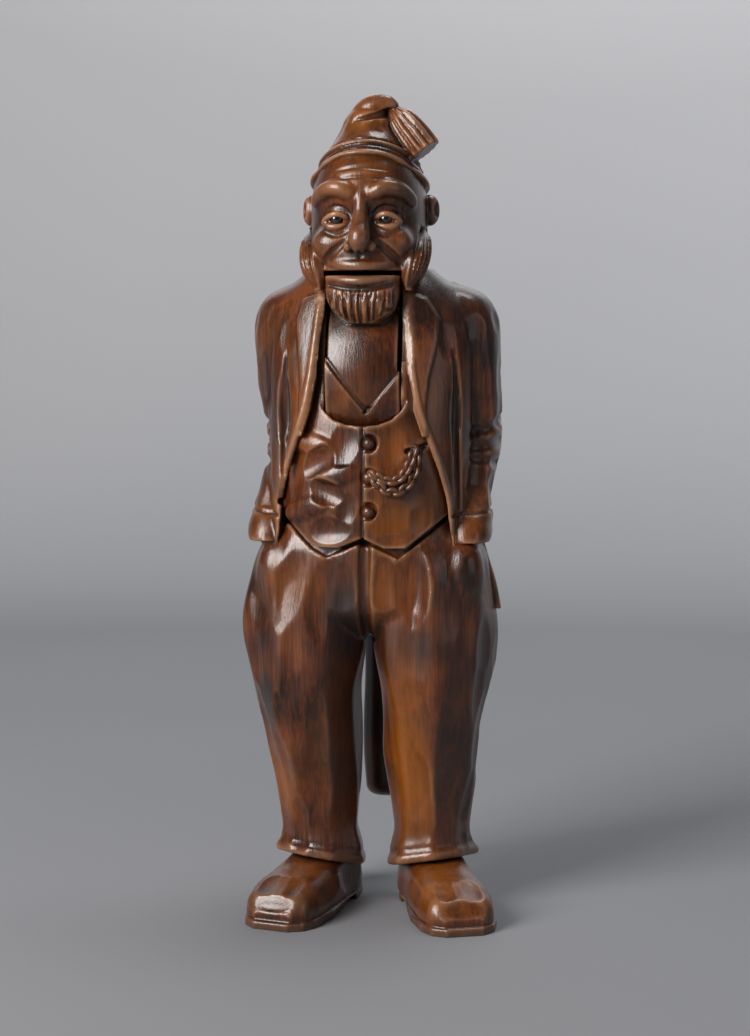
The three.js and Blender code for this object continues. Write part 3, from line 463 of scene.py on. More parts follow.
    def gouge(self, place, normal, along, length, width, depth, hollow):
        """One stroke of a gouge: a long shallow scoop. A large hollow leaves it nearly flat."""
        turn = laid(normal, along)
        chord = math.sqrt(2 * depth / hollow - (depth / hollow) ** 2)
        radii = (length / 2 / chord, width / 2 / chord, hollow)
        scoop = egg(np.asarray(place) + turn[2] * (hollow - depth), radii, turn)
        box = np.abs(np.array(turn)).T @ np.array([length / 2, width / 2, 3 * depth + 1])
        span, x, y, z = self.window(place - box, place + box, self.step)
        if min(i.stop - i.start for i in span) < 1:
            return
        x0, y0, z0 = x - place[0], y - place[1], z - place[2]
        u, v = (along_axis(t, x0, y0, z0) for t in turn[:2])
        # The tool lifts out towards the ends of its stroke.
        limit = 1.7 * depth * np.clip(1.25 - (2 * u / length) ** 2 - (2 * v / width) ** 2, 0, 1)
        here = self.field[span]
        self.field[span] = np.maximum(here, np.minimum(-scoop.distance(x, y, z), here + limit))

    def stroke(self, start, heading, along, length, width, depth, hollow):
        """A gouge stroke where a line from outside meets the wood."""
        places, normals = self.land(start, heading)
        if len(places):
            self.gouge(places[0], normals[0], along, length, width, depth, hollow)

    def front_groove(self, points, *sizes, **more):
        """A groove through places across and up the front."""
        self.groove([(x, 0, z) for x, z in points], BACKWARD, *sizes, **more)

    def front_stroke(self, across, level, along, *sizes, hollow):
        """A gouge stroke at a place across and up the front."""
        self.stroke((across, -FAR, level), BACKWARD, along, *sizes, hollow)

    def skin(self):
        """The surface as points and four-sided faces that point outwards."""
        field = self.field
        inside = field < 0
        counts = np.array(field.shape)
        corners = list(np.ndindex(2, 2, 2))
        filled = np.zeros(counts - 1, np.uint8)
        for a, b, c in corners:
            filled += inside[a : a + counts[0] - 1, b : b + counts[1] - 1, c : c + counts[2] - 1]
        cells = np.argwhere((filled > 0) & (filled < 8))
        index = np.full(counts - 1, -1, np.int32)
        index[tuple(cells.T)] = np.arange(len(cells))
        values = {c: field[tuple((cells + c).T)] for c in corners}
        total = np.zeros((len(cells), 3))
        crossings = np.zeros(len(cells))
        for corner in corners:
            for axis in range(3):
                if corner[axis]:
                    continue
                other = tuple(1 if i == axis else v for i, v in enumerate(corner))
                a, b = values[corner], values[other]
                crossed = (a < 0) != (b < 0)
                t = np.where(crossed, a / np.where(crossed, a - b, 1), 0)
                place = np.tile(np.array(corner, float), (len(cells), 1))
                place[:, axis] = t
                total[crossed] += place[crossed]
                crossings += crossed
        points = self.low + self.step * (cells + total / crossings[:, None])
        for _ in range(2):
            depth, slope = self.sample(points), self.slope(points)
            move = depth[:, None] * slope / np.maximum((slope**2).sum(1, keepdims=True), 0.05)
            points = points - np.clip(move, -0.4 * self.step, 0.4 * self.step)
        faces = []
        for axis in range(3):
            lower = [slice(1, -1)] * 3
            upper = [slice(1, -1)] * 3
            lower[axis], upper[axis] = slice(0, -1), slice(1, None)
            a, b = inside[tuple(lower)], inside[tuple(upper)]
            edges = np.argwhere(a != b)
            starts_inside = a[tuple(edges.T)]
            offset = np.ones(3, int)
            offset[axis] = 0
            edges = edges + offset
            u, v = np.eye(3, dtype=int)[(axis + 1) % 3], np.eye(3, dtype=int)[(axis + 2) % 3]
            ring = [index[tuple((edges - d).T)] for d in (u * 0, u, u + v, v)]
            quads = np.stack(ring, axis=1)
            quads[~starts_inside] = quads[~starts_inside][:, ::-1]
            faces.append(quads)
        return points, np.concatenate(faces)


def softened(values, reach):
    """Values averaged over a box that reaches so many cells each way."""
    for axis in range(3):
        pads = [(reach + 1, reach) if i == axis else (0, 0) for i in range(3)]
        total = np.cumsum(np.pad(values, pads, mode="edge"), axis=axis, dtype=np.float64)
        n, width = values.shape[axis], 2 * reach + 1
        sums = np.take(total, np.arange(n) + width, axis) - np.take(total, np.arange(n), axis)
        values = (sums / width).astype(np.float32)
    return values


def combed(stations, angles, spread=0.0):
    """Lines down the outside of a loft, one at each angle from its front round to its back."""
    table = np.asarray(stations, float)
    levels = np.linspace(table[0, 0] + 0.4, table[-1, 0] - 0.3, 26)
    columns = [flowing(table[:, 0], table[:, i], levels) for i in range(1, 6)]
    middle, back, wide, before, behind = columns
    lines = []
    for angle in angles:
        wave = angle + spread * np.sin(np.linspace(0, 3, len(levels)))
        across, ahead = np.sin(wave), np.cos(wave)
        deep = np.where(ahead > 0, before, behind)
        lines.append(np.stack([middle + wide * across, back - deep * ahead, levels], axis=1))
    return lines


# Finishes


def feed(tree, socket, value):
    """Links a socket to another one, or fills it in."""
    if isinstance(value, bpy.types.NodeSocket):
        tree.links.new(value, socket)
    else:
        socket.default_value = value


def put(tree, kind, inputs=None, **settings):
    """A node with its settings made and its inputs linked or filled in."""
    node = tree.nodes.new(kind)
    for name, value in settings.items():
        setattr(node, name, value)
    for name, value in (inputs or {}).items():
        feed(tree, node.inputs[name], value)
    return node


# A colour mix has sockets for other kinds too. These are its share, its colours and its result.
MIX_INPUTS, MIX_RESULT = (0, 6, 7), 2


def mixed(tree, share, a, b):
    """One colour laid over another."""
    node = put(tree, "ShaderNodeMix", data_type="RGBA")
    for number, value in zip(MIX_INPUTS, (share, a, b)):
        feed(tree, node.inputs[number], value)
    return node.outputs[MIX_RESULT]


def reckon(tree, operation, *values, clamp=False):
    """A sum on numbers or sockets."""
    node = put(tree, "ShaderNodeMath", operation=operation, use_clamp=clamp)
    for socket, value in zip(node.inputs, values):
        feed(tree, socket, value)
    return node.outputs[0]


def solid_colour(colour, shade=1.0):
    """A colour made lighter or darker, with nothing showing through."""
    return (*[c * shade for c in colour], 1)


def noise(tree, coordinates, scale, detail, roughness=0.5):
    inputs = {"Vector": coordinates, "Scale": scale, "Detail": detail, "Roughness": roughness}
    return put(tree, "ShaderNodeTexNoise", inputs).outputs[0]


def streaks(tree, coordinates, stretch, scale, detail=3.0, roughness=0.55):
    """Noise drawn out along the grain, which runs up the figure."""
    run = put(tree, "ShaderNodeMapping", {"Vector": coordinates, "Scale": (1, 1, stretch)})
    return noise(tree, run.outputs[0], scale, detail, roughness)


def ramp(tree, value, stops):
    """Colours by a value, between stops."""
    node = put(tree, "ShaderNodeValToRGB", {"Fac": value})
    elements = node.color_ramp.elements
    while len(elements) < len(stops):
        elements.new(0.5)
    for element, (at, colour) in zip(elements, stops):
        element.position, element.color = at, colour
    return node.outputs[0]


def finish_tree(name):
    """A new material, its nodes, its main shader and the object's coordinates."""
    material = bpy.data.materials.new(name)
    material.use_nodes = True
    tree = material.node_tree
    coordinates = put(tree, "ShaderNodeTexCoord").outputs["Object"]
    return material, tree, tree.nodes["Principled BSDF"], coordinates


def stained_wood(name, shade=1.0):
    """Stained and varnished wood: grain, stain and painted shade gathered in hollows, worn edges.
    """
    stain = bpy.context.scene.nutcracker_stain
    material, tree, shader, coordinates = finish_tree(name)
    amber, worn, hollow = (
        put(tree, "ShaderNodeAttribute", attribute_name=layer).outputs["Fac"]
        for layer in ("amber", "worn", "hollow")
    )
    broad = noise(tree, coordinates, scale=85.0, detail=3.5)
    bands = streaks(tree, coordinates, stretch=0.12, scale=330.0)
    fibre = streaks(tree, coordinates, stretch=0.05, scale=1500.0, roughness=0.6)
    pores = streaks(tree, coordinates, stretch=0.09, scale=3600.0, detail=2.0)
    marks = streaks(tree, coordinates, stretch=0.4, scale=420.0, detail=2.0)

    tone = reckon(tree, "MULTIPLY_ADD", broad, 0.62, -0.23)
    tone = reckon(tree, "MULTIPLY_ADD", bands, 0.36, tone)
    tone = reckon(tree, "MULTIPLY_ADD", fibre, 0.46, tone)
    stops = ((0.36, stain.dark), (0.5, stain.middle), (0.66, stain.light))
    colour = ramp(tree, tone, [(at, solid_colour(c, shade)) for at, c in stops])
    gold = mixed(tree, fibre, solid_colour(stain.amber, 0.75), solid_colour(stain.amber))
    layers = (
        (amber, bands, 0.45, gold),
        (worn, broad, 0.2, solid_colour(stain.worn)),
        # Hollows and dark patches: gathered stain and painted shade.
        (hollow, bands, 0.5, solid_colour(stain.recess_stain_and_shade)),
    )
    for layer, grain, least, over in layers:
        share = reckon(tree, "MULTIPLY", layer, reckon(tree, "ADD", grain, least), clamp=True)
        colour = mixed(tree, share, colour, over)
    rough = reckon(tree, "MULTIPLY_ADD", bands, 0.22, 0.2)
    rough = reckon(tree, "MULTIPLY_ADD", hollow, 0.25, rough)
    relief = reckon(tree, "MULTIPLY_ADD", pores, 0.5, fibre)
    grain = {"Strength": 0.16, "Distance": 0.0004, "Height": relief}
    bump = put(tree, "ShaderNodeBump", grain).outputs[0]
    brush = {"Strength": 0.14, "Distance": 0.0006, "Height": marks, "Normal": bump}
    finish = {
        "Base Color": colour,
        "Roughness": rough,
        "Normal": bump,
        "Specular IOR Level": 0.35,
        "Coat Weight": stain.varnish,
        "Coat Roughness": stain.varnish_roughness,
        "Coat IOR": 1.5,
        "Coat Normal": put(tree, "ShaderNodeBump", brush).outputs[0],
    }
    for socket, value in finish.items():
        feed(tree, shader.inputs[socket], value)
    return material


# Making pieces


def piece(name, points, faces, body, nodes, material):
    """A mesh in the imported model's frame, set on its body."""
    mesh = bpy.data.meshes.new(name)
    sides = np.array([len(f) for f in faces])
    corners = np.concatenate([np.asarray(f) for f in faces])
    starts = np.concatenate([[0], np.cumsum(sides)[:-1]])
    mesh.vertices.add(len(points))
    mesh.vertices.foreach_set("co", ((np.asarray(points) + OFFSET) / MM).astype(np.float32).ravel())
    mesh.loops.add(int(sides.sum()))
    mesh.loops.foreach_set("vertex_index", corners.astype(np.int32))
    mesh.polygons.add(len(sides))
    mesh.polygons.foreach_set("loop_start", starts.astype(np.int32))
    mesh.polygons.foreach_set("use_smooth", np.ones(len(sides), bool))
    mesh.update(calc_edges=True)
    mesh.materials.append(material)
    made = bpy.data.objects.new(name, mesh)
    bpy.context.scene.collection.objects.link(made)
    settle(made, body, nodes)
    return made


def settle(made, body, nodes):
    """Sets a piece on its body, in place of nodes."""
    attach(made, body)
    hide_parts(*nodes)


def attribute(mesh, name, values):
    """Sets a layer of values, one for each point."""
    layer = mesh.attributes.get(name) or mesh.attributes.new(name, "FLOAT", "POINT")
    layer.data.foreach_set("value", np.asarray(values, np.float32))


def attribute_of(mesh, name):
    """A layer's values, one for each point."""
    values = np.zeros(len(mesh.vertices), np.float32)
    mesh.attributes[name].data.foreach_get("value", values)
    return values


# Patches in the stain: middle, reach and strength, more than 0 for amber and less for dark. The
# dark ones are mostly painted shade, between the legs and on sides turned from the key lamp.
PATCHES = {
    "trousers": (
        ((11, -12, 32), (7, 9, 20), 0.9),
        ((9, -14, 56), (5, 9, 16), 0.35),
        ((-22, -6, 34), (5, 9, 12), 0.6),
        ((-18, -14, 84), (9, 9, 9), 0.35),
        ((4, -15, 86), (6, 8, 9), 0.4),
        ((-9, -14, 42), (6, 8, 16), 0.25),
        # Dark patches: mostly painted shade between the legs and on the left side, turned from the
        # key lamp.
        ((-4.5, -13, 77), (5, 9, 13), -0.85),
        ((2, -13, 68), (6, 9, 7), -0.5),
        ((-5, -8, 44), (4, 12, 24), -0.7),
        ((23, -9, 42), (6, 10, 24), -0.6),
        ((17.6, -14, 70), (7, 8, 5), -0.5),
        ((-25, -10, 69), (5, 8, 5), -0.5),
        ((-14, -12, 40), (5, 8, 6), -0.4),
    ),
    "shoes": (
        ((19, -18, 10), (8, 14, 8), 0.7),
        ((-17, -18, 10), (8, 12, 7), 0.3),
        # Darker along the bottom of the sole.
        ((0, -8, 0.4), (90, 90, 1.7), -0.75),
    ),
    "waistcoat": (
        ((8, -18, 101), (9, 8, 8), 0.5),
        ((10, -17, 119), (6, 8, 6), 0.45),
        ((-12, -17, 120), (6, 8, 5), 0.4),
    ),
    "coat": (
        ((15, -14, 128), (4, 8, 10), 0.7),
        ((-15, -14, 130), (4, 8, 12), 0.5),
        ((-25, -8, 104), (6, 9, 9), 0.35),
        ((-25, -4, 146), (6, 8, 7), 0.3),
        ((26, -8, 104), (6, 8, 7), 0.35),
        # Dark patches: a darker right sleeve, and painted shade on the left shoulder, turned from
        # the key lamp.
        ((-25, -6, 133), (5, 9, 12), -0.7),
        ((-28, -4, 112), (5, 9, 6), -0.5),
        ((19, -2, 154), (11, 12, 7), -0.6),
    ),
    "head": (
        ((0, -20, 186), (10, 8, 6), 0.35),
        ((-8, -18, 168), (6, 8, 5), 0.3),
        ((14, -10, 162), (5, 8, 6), 0.45),
        ((-14, -10, 160), (4, 8, 6), 0.4),
    ),
    "cap": (((-2, -8, 199), (6, 8, 6), 0.6), ((12, -8, 196), (6, 6, 6), 0.3)),
    "jaw_front": (((-5, -20, 131), (6, 8, 5), 0.35), ((0, -21, 152), (7, 6, 4), 0.3)),
    "jaw_handle": (),
}


def wooden(name, block, body, nodes, material):
    """A carved block as a piece, with its worn edges, hollows darkened by gathered stain and
    painted shade, and patches in the stain.
    """
    points, faces = block.skin()
    made = piece(name, points, faces, body, nodes, material)
    reach = max(int(round(RUB_REACH / block.step)), 1)
    around = softened(np.clip(block.field, -RUB_DEPTH, RUB_DEPTH), reach)
    bend = block.sample(points, around) / RUB_DEPTH
    attribute(made.data, "worn", np.clip(bend * WEAR_RATE - WEAR_START, 0, 1))
    glow = np.zeros(len(points))
    # Hollows darkened as gathered stain and painted shade.
    dark_stain_and_shade = np.clip(-bend * STAIN_AND_SHADE_RATE - STAIN_AND_SHADE_START, 0, MOST_STAIN_AND_SHADE)
    for centre, radii, amount in PATCHES[name]:
        away = (((points - np.array(centre)) / np.array(radii)) ** 2).sum(1)
        layer = glow if amount > 0 else dark_stain_and_shade
        layer += abs(amount) * np.exp(-away)
    attribute(made.data, "amber", np.clip(glow, 0, 1))
    attribute(made.data, "hollow", np.clip(dark_stain_and_shade, 0, MOST_STAIN_AND_SHADE))
    carved[name] = (block, points)
    return made


def mirrored(points, side):
    """Points on the right (-1) or the left (1)."""
    return [(side * p[0], *p[1:]) for p in points]


# Trousers

# Level, right leg's middle, left leg's middle, half width, middle back, half depth.
LEGS = (
    (9.6, -13.3, 15.5, 11.0, 2.5, 12.4),
    (13.4, -13.3, 15.5, 10.9, 2.5, 12.3),
    (16.4, -13.2, 15.5, 10.2, 2.5, 11.7),
    (19.5, -13.2, 15.5, 9.4, 2.4, 11.0),
    (24, -13.3, 15.7, 9.7, 2.2, 11.3),
    (31, -13.6, 16.0, 10.6, 1.8, 12.2),
    (41, -14.8, 16.0, 11.8, 0.8, 13.6),
    (47, -15.5, 16.3, 12.3, 0.2, 14.2),
    (56, -16.5, 16.4, 13.3, -0.8, 15.2),
    (66, -16.4, 16.0, 14.9, -0.4, 16.4),
    (74, -16.1, 15.7, 15.6, 0, 16.9),
    (84, -15.2, 15.6, 15.0, 0, 16.6),
    (92, -13.8, 14.6, 14.6, 0, 15.6),
    (100, -12.0, 12.8, 12.0, 0, 12.6),
)


def leg(side):
    """One leg, shaved into long flats."""
    column = 1 if side < 0 else 2
    rows = [(row[0], row[column], row[4], row[3], row[5], row[5]) for row in LEGS]
    return loft(rows, facets=(8, 0.5 if side < 0 else 0.15))


def leg_middle(side, level):
    """Where a leg's middle lies at a level, across and back."""
    table = np.array(LEGS)
    column = 1 if side < 0 else 2
    return np.array([flowing(table[:, 0], table[:, i], np.array([level]))[0] for i in (column, 4)])


def carve_trousers(step):
    block = Block((-35, -23, 9), (36, 22, 104), step)
    for side in SIDES:
        block.add(leg(side), 0.6)
    hips = (
        (70, 0, 0, 4, 9, 10),
        (77, 0, 0, 21, 16, 17),
        (87, 0, 0, 28, 17.8, 17.4),
        (103, 0, 0, 23, 17.4, 16.2),
    )
    block.add(loft(hips), 1.0)
    rng = np.random.default_rng(7)
    # Level, length and count of the knife cuts in each row.
    rows = ((26, 20, 9), (36, 24, 9), (47, 26, 9), (58, 26, 9), (69, 24, 10), (80, 20, 10))
    for side in SIDES:
        # Bulge below the pocket's mouth.
        block.add(egg((side * 23.4 + 1.0, -9.6, 87.4), (5.3, 5.6, 8.4)), 1.6)
        # Knife cuts across the long flats, but not between the legs.
        for level, length, count in rows:
            for i in range(count):
                angle = 2 * math.pi * (i + 0.6 * rng.random()) / count
                height = level + rng.uniform(-5, 5)
                heading = np.array([-math.cos(angle), -math.sin(angle), 0])
                middle = np.array([*leg_middle(side, height), height])
                lean = np.array([rng.uniform(-0.12, 0.12), 0, 1])
                size = length * rng.uniform(0.7, 1.1), rng.uniform(5, 9), rng.uniform(0.4, 0.85)
                if side * math.cos(angle) > -0.35:
                    block.stroke(middle - heading * 24, heading, lean, *size, hollow=60)
    upright = (0.05, 0, 1)
    for across, level in ((-17.5, 80), (19, 79)):
        block.front_stroke(across, level, upright, 24, 10, 0.5, hollow=40)
    block.field = 0.5 * (block.field + softened(block.field, 1))
    # Flat cuts that end in round tops below the waistcoat: across, level, length, width, depth.
    tops = (
        (-10, 82, 22, 9, 0.9),
        (-4.6, 82, 20, 8, 1.1),
        (5.4, 83, 20, 8, 1.1),
        (11.5, 84, 20, 9, 0.7),
    )
    for across, level, *sizes in tops:
        block.front_stroke(across, level, upright, *sizes, hollow=24)
    # Undercut below the waistcoat's hem.
    under = [(x, z - 1.2) for x, z in VEST_HEM] + [(x, z + 4) for x, z in reversed(VEST_HEM)]
    block.sink(front_slab(under, BEFORE, 0), 1.3, 0.6)
    # Seam between the legs and up the front.
    block.front_groove([(0.6, 98), (0.5, 86), (0.5, 74), (0.5, 66)], 3.0, 1.0, blend=0.6)
    block.groove([(0, 0, 100), (0, 0, 84), (0, 0, 68)], FORWARD, 1.4, 0.9)
    for side in SIDES:
        mouth = ((19.4, 101.5), (22.6, 98.8), (27.2, 98.6), (30.6, 95))
        block.front_groove([(side * x + 1, z) for x, z in mouth], 1.6, 1.1)
        # The lower edge arches up over the instep, with a lip along it.
        middle = leg_middle(side, 12)[0]
        reach = (middle - 14, -22, 9), (middle + 14, 18, 24)

        def above_hem(x, y, z):
            arch = np.clip(0.2 * (2.5 - y) + 0.16 * side * (x - middle), -2, 5.0)
            return z - 11.2 - arch

        def band(height, half):
            return within(*reach, lambda x, y, z: np.abs(above_hem(x, y, z) - height) - half)

        block.lift(band(1.4, 1.2), 0.45, 0.9)
        block.sink(band(3.6, 0.5), 0.2, 0.4)
        block.cut(within(*reach, above_hem), 0.2)
    return block


# Shoes

SOLE_HALF = (
    (4.6, -30.2), (8.0, -27.8), (9.7, -23.6), (10.0, -14), (8.6, -4), (8.2, 6), (6.6, 12.6),
    (3, 14.8),
)
SOLE = [*SOLE_HALF, *[(-x, y) for x, y in reversed(SOLE_HALF)]]
SOLE_THICKNESS = 2.1
# Distance along the foot, across, height of the middle, half width, down, up.
SHOE_UPPER = (
    (-29.2, 0, 3, 5.0, 1.4, 1.4),
    (-27.4, 0, 3, 7.4, 1.4, 4.6),
    (-23, 0, 3, 9.0, 1.4, 7.2),
    (-14, 0, 3, 9.3, 1.4, 8.9),
    (-5, 0, 3, 8.7, 1.4, 11.0),
    (0, 0, 3, 8.3, 1.4, 12.6),
    (9, 0, 3, 7.9, 1.4, 12.6),
    (13, 0, 3, 5.8, 1.4, 11.0),
)


def shoe_place(side):
    """The map from the grid to a shoe turned outwards, with the shoe's origin and directions."""
    turn = math.radians(19.5 if side > 0 else -16)
    x0 = 16.7 if side > 0 else -13.3
    c, s = math.cos(turn), math.sin(turn)

    def place(x, y, z):
        across = (x - x0) * c + y * s
        along = -(x - x0) * s + y * c
        return across, z, along

    return place, np.array([x0, 0, 0]), np.array([[c, s, 0], [-s, c, 0], [0, 0, 1]])


def carve_shoes(step):
    block = Block((-33, -35, -1), (37, 19, 19), step)
    welt = [(a * 0.985, b * 0.985) for a, b in SOLE]
    for side in SIDES:
        place, origin, axes = shoe_place(side)
        box = ((-33, -35, -1), (1, 19, 19)) if side < 0 else ((1, -35, -1), (37, 19, 19))
        block.add(loft(SHOE_UPPER, 3.0, place=place, box=box))

        def sole_distance(x, y, z):
            across, height, along = place(x, y, z)
            slab = np.maximum(-height, height - SOLE_THICKNESS)
            return np.maximum(outline_distance(SOLE, across, along), slab)

        def welt_distance(x, y, z):
            across, height, along = place(x, y, z)
            beyond = -outline_distance(welt, across, along) - 0.1
            return np.maximum(beyond, np.abs(height - 2.3) - 0.3)

        def arch_distance(x, y, z):
            _, height, along = place(x, y, z)
            waist = np.maximum(along - 4.2, -4.4 - along)
            return np.maximum(waist, height - np.minimum(1.5, (along + 4.4) * 0.6))

        # Sole, welt line round its top, and the arch before the heel.
        block.add(within(*box, sole_distance), 0.15)
        block.cut(within(*box, welt_distance), 0.2)
        block.cut(within(*box, arch_distance))
        # Flat chisel cuts: toe top, toe front, sides, instep.
        cuts = (
            ((0, -23, 30), (0, 0, -1), (0, 1, 0), 13, 11, 0.5),
            ((0, -60, 6.4), (0, 1, 0), (1, 0, 0), 13, 6, 0.6),
            ((6, -23, 30), (-0.45, 0, -0.9), (0, 1, 0), 15, 7, 0.6),
            ((-6, -23, 30), (0.45, 0, -0.9), (0, 1, 0), 15, 7, 0.6),
            ((40, -16, 7), (-1, 0, 0), (0, 1, 0), 20, 8, 0.5),
            ((-40, -16, 7), (1, 0, 0), (0, 1, 0), 20, 8, 0.5),
            ((40, 2, 8), (-1, 0, 0), (0, 1, 0), 16, 9, 0.5),
            ((-40, 2, 8), (1, 0, 0), (0, 1, 0), 16, 9, 0.5),
            ((0, 40, 9), (0, -1, 0), (0, 0, 1), 11, 9, 0.5),
        )
        for start, heading, along, length, width, depth in cuts:
            start, heading, along = (np.array(v, float) @ axes for v in (start, heading, along))
            block.stroke(start + origin, unit(heading), along, length, width, depth, hollow=45)
    return block


# Waistcoat

VEST_HEM = (
    (-26, 103), (-20.4, 101.6), (-12.8, 94.6), (-9.2, 92.6), (0.2, 96.6), (8.8, 92.4),
    (20.8, 102.2), (26, 103),
)


def neckline(depth):
    """The waistcoat's scooped neck, cut back to a depth."""
    scoop = (
        (-11.8, 142), (-11.6, 133), (-11.0, 130.4), (-9.6, 127.8), (-7.2, 125.6), (-4, 124.4),
        (0, 124.0),
    )
    outline = [*scoop, *[(-x, z) for x, z in scoop[-2::-1]]]
    return front_slab(outline, BEFORE, depth)


def vest_front(across, level):
    """How far back the waistcoat's front lies."""
    table = np.array(TORSO)
    wide, before = (flowing(table[:, 0], table[:, i], np.array([level]))[0] for i in (3, 4))
    return -before * (1 - (abs(across) / wide) ** ROUND) ** (1 / ROUND)


def carve_waistcoat(step):
    block = Block((-25, -25, 90), (26, -5, 160), step)
    block.add(loft(TORSO))
    # The left half laps over the right.
    lap = [(0.35, 90), (26, 90), (26, 140), (0.6, 140)]
    block.lift(front_slab(lap, -30, 0), 0.5, 0.1)
    # Folds of the cloth, drawn from the side and from the buttons in turn.
    folds = (
        (-14.0, 119.6, 15, 7, -0.2),
        (-6.6, 112.0, 12, 6.6, 0.25),
        (-14.4, 103.8, 14, 6.6, 0.3),
    )
    for across, level, length, width, slope in folds:
        places, normals = block.land((across, -FAR, level), BACKWARD)
        turn = laid(normals[0], (1, 0, slope))
        block.add(egg(places[0] - turn[2] * 0.9, (length / 2, width / 2, 2.0), turn), 0.6)
    # Scoops of a wide gouge: across, level, length, width, depth, direction.
    scoops = (
        (-16.8, 111.6, 13, 7, 0.6, (0.35, 0, 1)),
        (-4.2, 119.6, 11, 8, 0.8, (0.4, 0, 1)),
        (-10.6, 115.6, 15, 6, 1.2, (1, 0, 0.55)),
        (-8.6, 107.4, 14, 6, 1.2, (1, 0, -0.45)),
        (-4.0, 103.4, 10, 6, 0.8, (0.3, 0, 1)),
        (-8.0, 98.4, 15, 7, 1.1, (1, 0, 0.1)),
        (7.6, 118.6, 12, 8, 0.7, (0.5, 0, 1)),
        (14.0, 108.0, 14, 9, 0.6, (0.2, 0, 1)),
        (7.4, 101.4, 14, 9, 0.7, (1, 0, 0.3)),
        (14.5, 101.6, 11, 8, 0.6, (0.8, 0, 1)),
        (7.0, 95.6, 10, 5, 0.5, (1, 0, 0.1)),
    )
    for across, level, length, width, depth, along in scoops:
        block.front_stroke(across, level, along, length, width, depth, hollow=8)
    # Lapped front edge, countersunk button seats and the watch pocket.
    block.front_groove([(0.4, 124.5), (0.3, 112), (0.2, 96)], 1.0, 0.55)
    for level in BUTTON_LEVELS:
        seat = (BUTTON_ACROSS, vest_front(BUTTON_ACROSS, level) - 0.5, level)
        block.cut(egg(seat, (2.4, 1.3, 2.4)), 0.3)
    block.front_groove([(11.2, 118.0), (13.4, 118.4), (15.6, 119.4)], 1.4, 1.0)
    # Neck, hem and the pocket for the shirt front.
    neck, shirt = neckline(-9), barrel(SHIRT_RADIUS - SHIRT_CROWN - CLEARANCE, 0.0, 14)

    def open_neck(x, y, z):
        return np.maximum(neck.distance(x, y, z), -shirt.distance(x, y, z))

    block.cut(Form(neck.low, neck.high, open_neck), 0.25)
    block.cut(front_slab([*VEST_HEM, (30, 80), (-30, 80)], BEFORE, 10), 0.2)
    for form in lever_slot():
        block.cut(form)
    edge = [(x + 4, z) for x, z in COAT_EDGE]
    block.keep(front_slab(edge + mirrored(edge, -1)[::-1], BEFORE, -6))
    return block


# Coat

# Level, right and left middle across, middle back, right and left half width, half depth.
ARMS = (
    (92.5, -22.2, 23.0, -6.8, 3.6, 3.8, 5.8),
    (98, -24.5, 25.0, -3.8, 5.4, 5.5, 7.6),
    (108, -23.2, 26.1, 1.2, 5.3, 5.3, 8.0),
    (115, -22.4, 27.1, 3.4, 5.1, 5.3, 8.3),
    (121, -22.4, 27.6, 4.4, 5.2, 5.4, 8.6),
    (128, -22.8, 27.5, 3.8, 5.5, 5.6, 8.8),
    (137, -23.8, 27.0, 3.0, 5.8, 5.8, 8.9),
    (146, -23.3, 26.2, 2.5, 5.9, 6.0, 8.8),
    (152, -21.4, 24.2, 2.5, 5.8, 6.0, 8.2),
    (156.6, -18.6, 21.2, 2.5, 4.4, 4.6, 6.4),
    (159, -16.6, 18.8, 2.5, 1.4, 1.4, 3.0),
)


def arm(side):
    """Stations of one arm: the two hang a little differently."""
    rows = []
    for z, right, left, y, right_wide, left_wide, deep in ARMS:
        x, wide = (right, right_wide) if side < 0 else (left, left_wide)
        rows.append((z, x, y, wide, deep, deep))
    return rows


def add_lapel(block, side):
    """A raised flap beside the coat's front edge, with a bead along the edge."""
    wider = 1.0 if side > 0 else 0.7
    flap = (
        (9.5, 157), (9.5, 121), (16.2, 121.5), (15.6, 128), (13.6 + 2.6 * wider, 135.4),
        (12.4 + 5.4 * wider, 142.7), (12 + 7 * wider, 150), (15.4, 155.4), (10, 157),
    )
    block.lift(front_slab(mirrored(flap, side), BEFORE, 0), 1.0, 0.25)
    edge = [(side * (x + 0.7), 0, z) for x, z in COAT_EDGE[1:9]]
    block.bead(edge, BACKWARD, [0.5, 0.85, 0.85, 0.5], 0.35, blend=0.3)


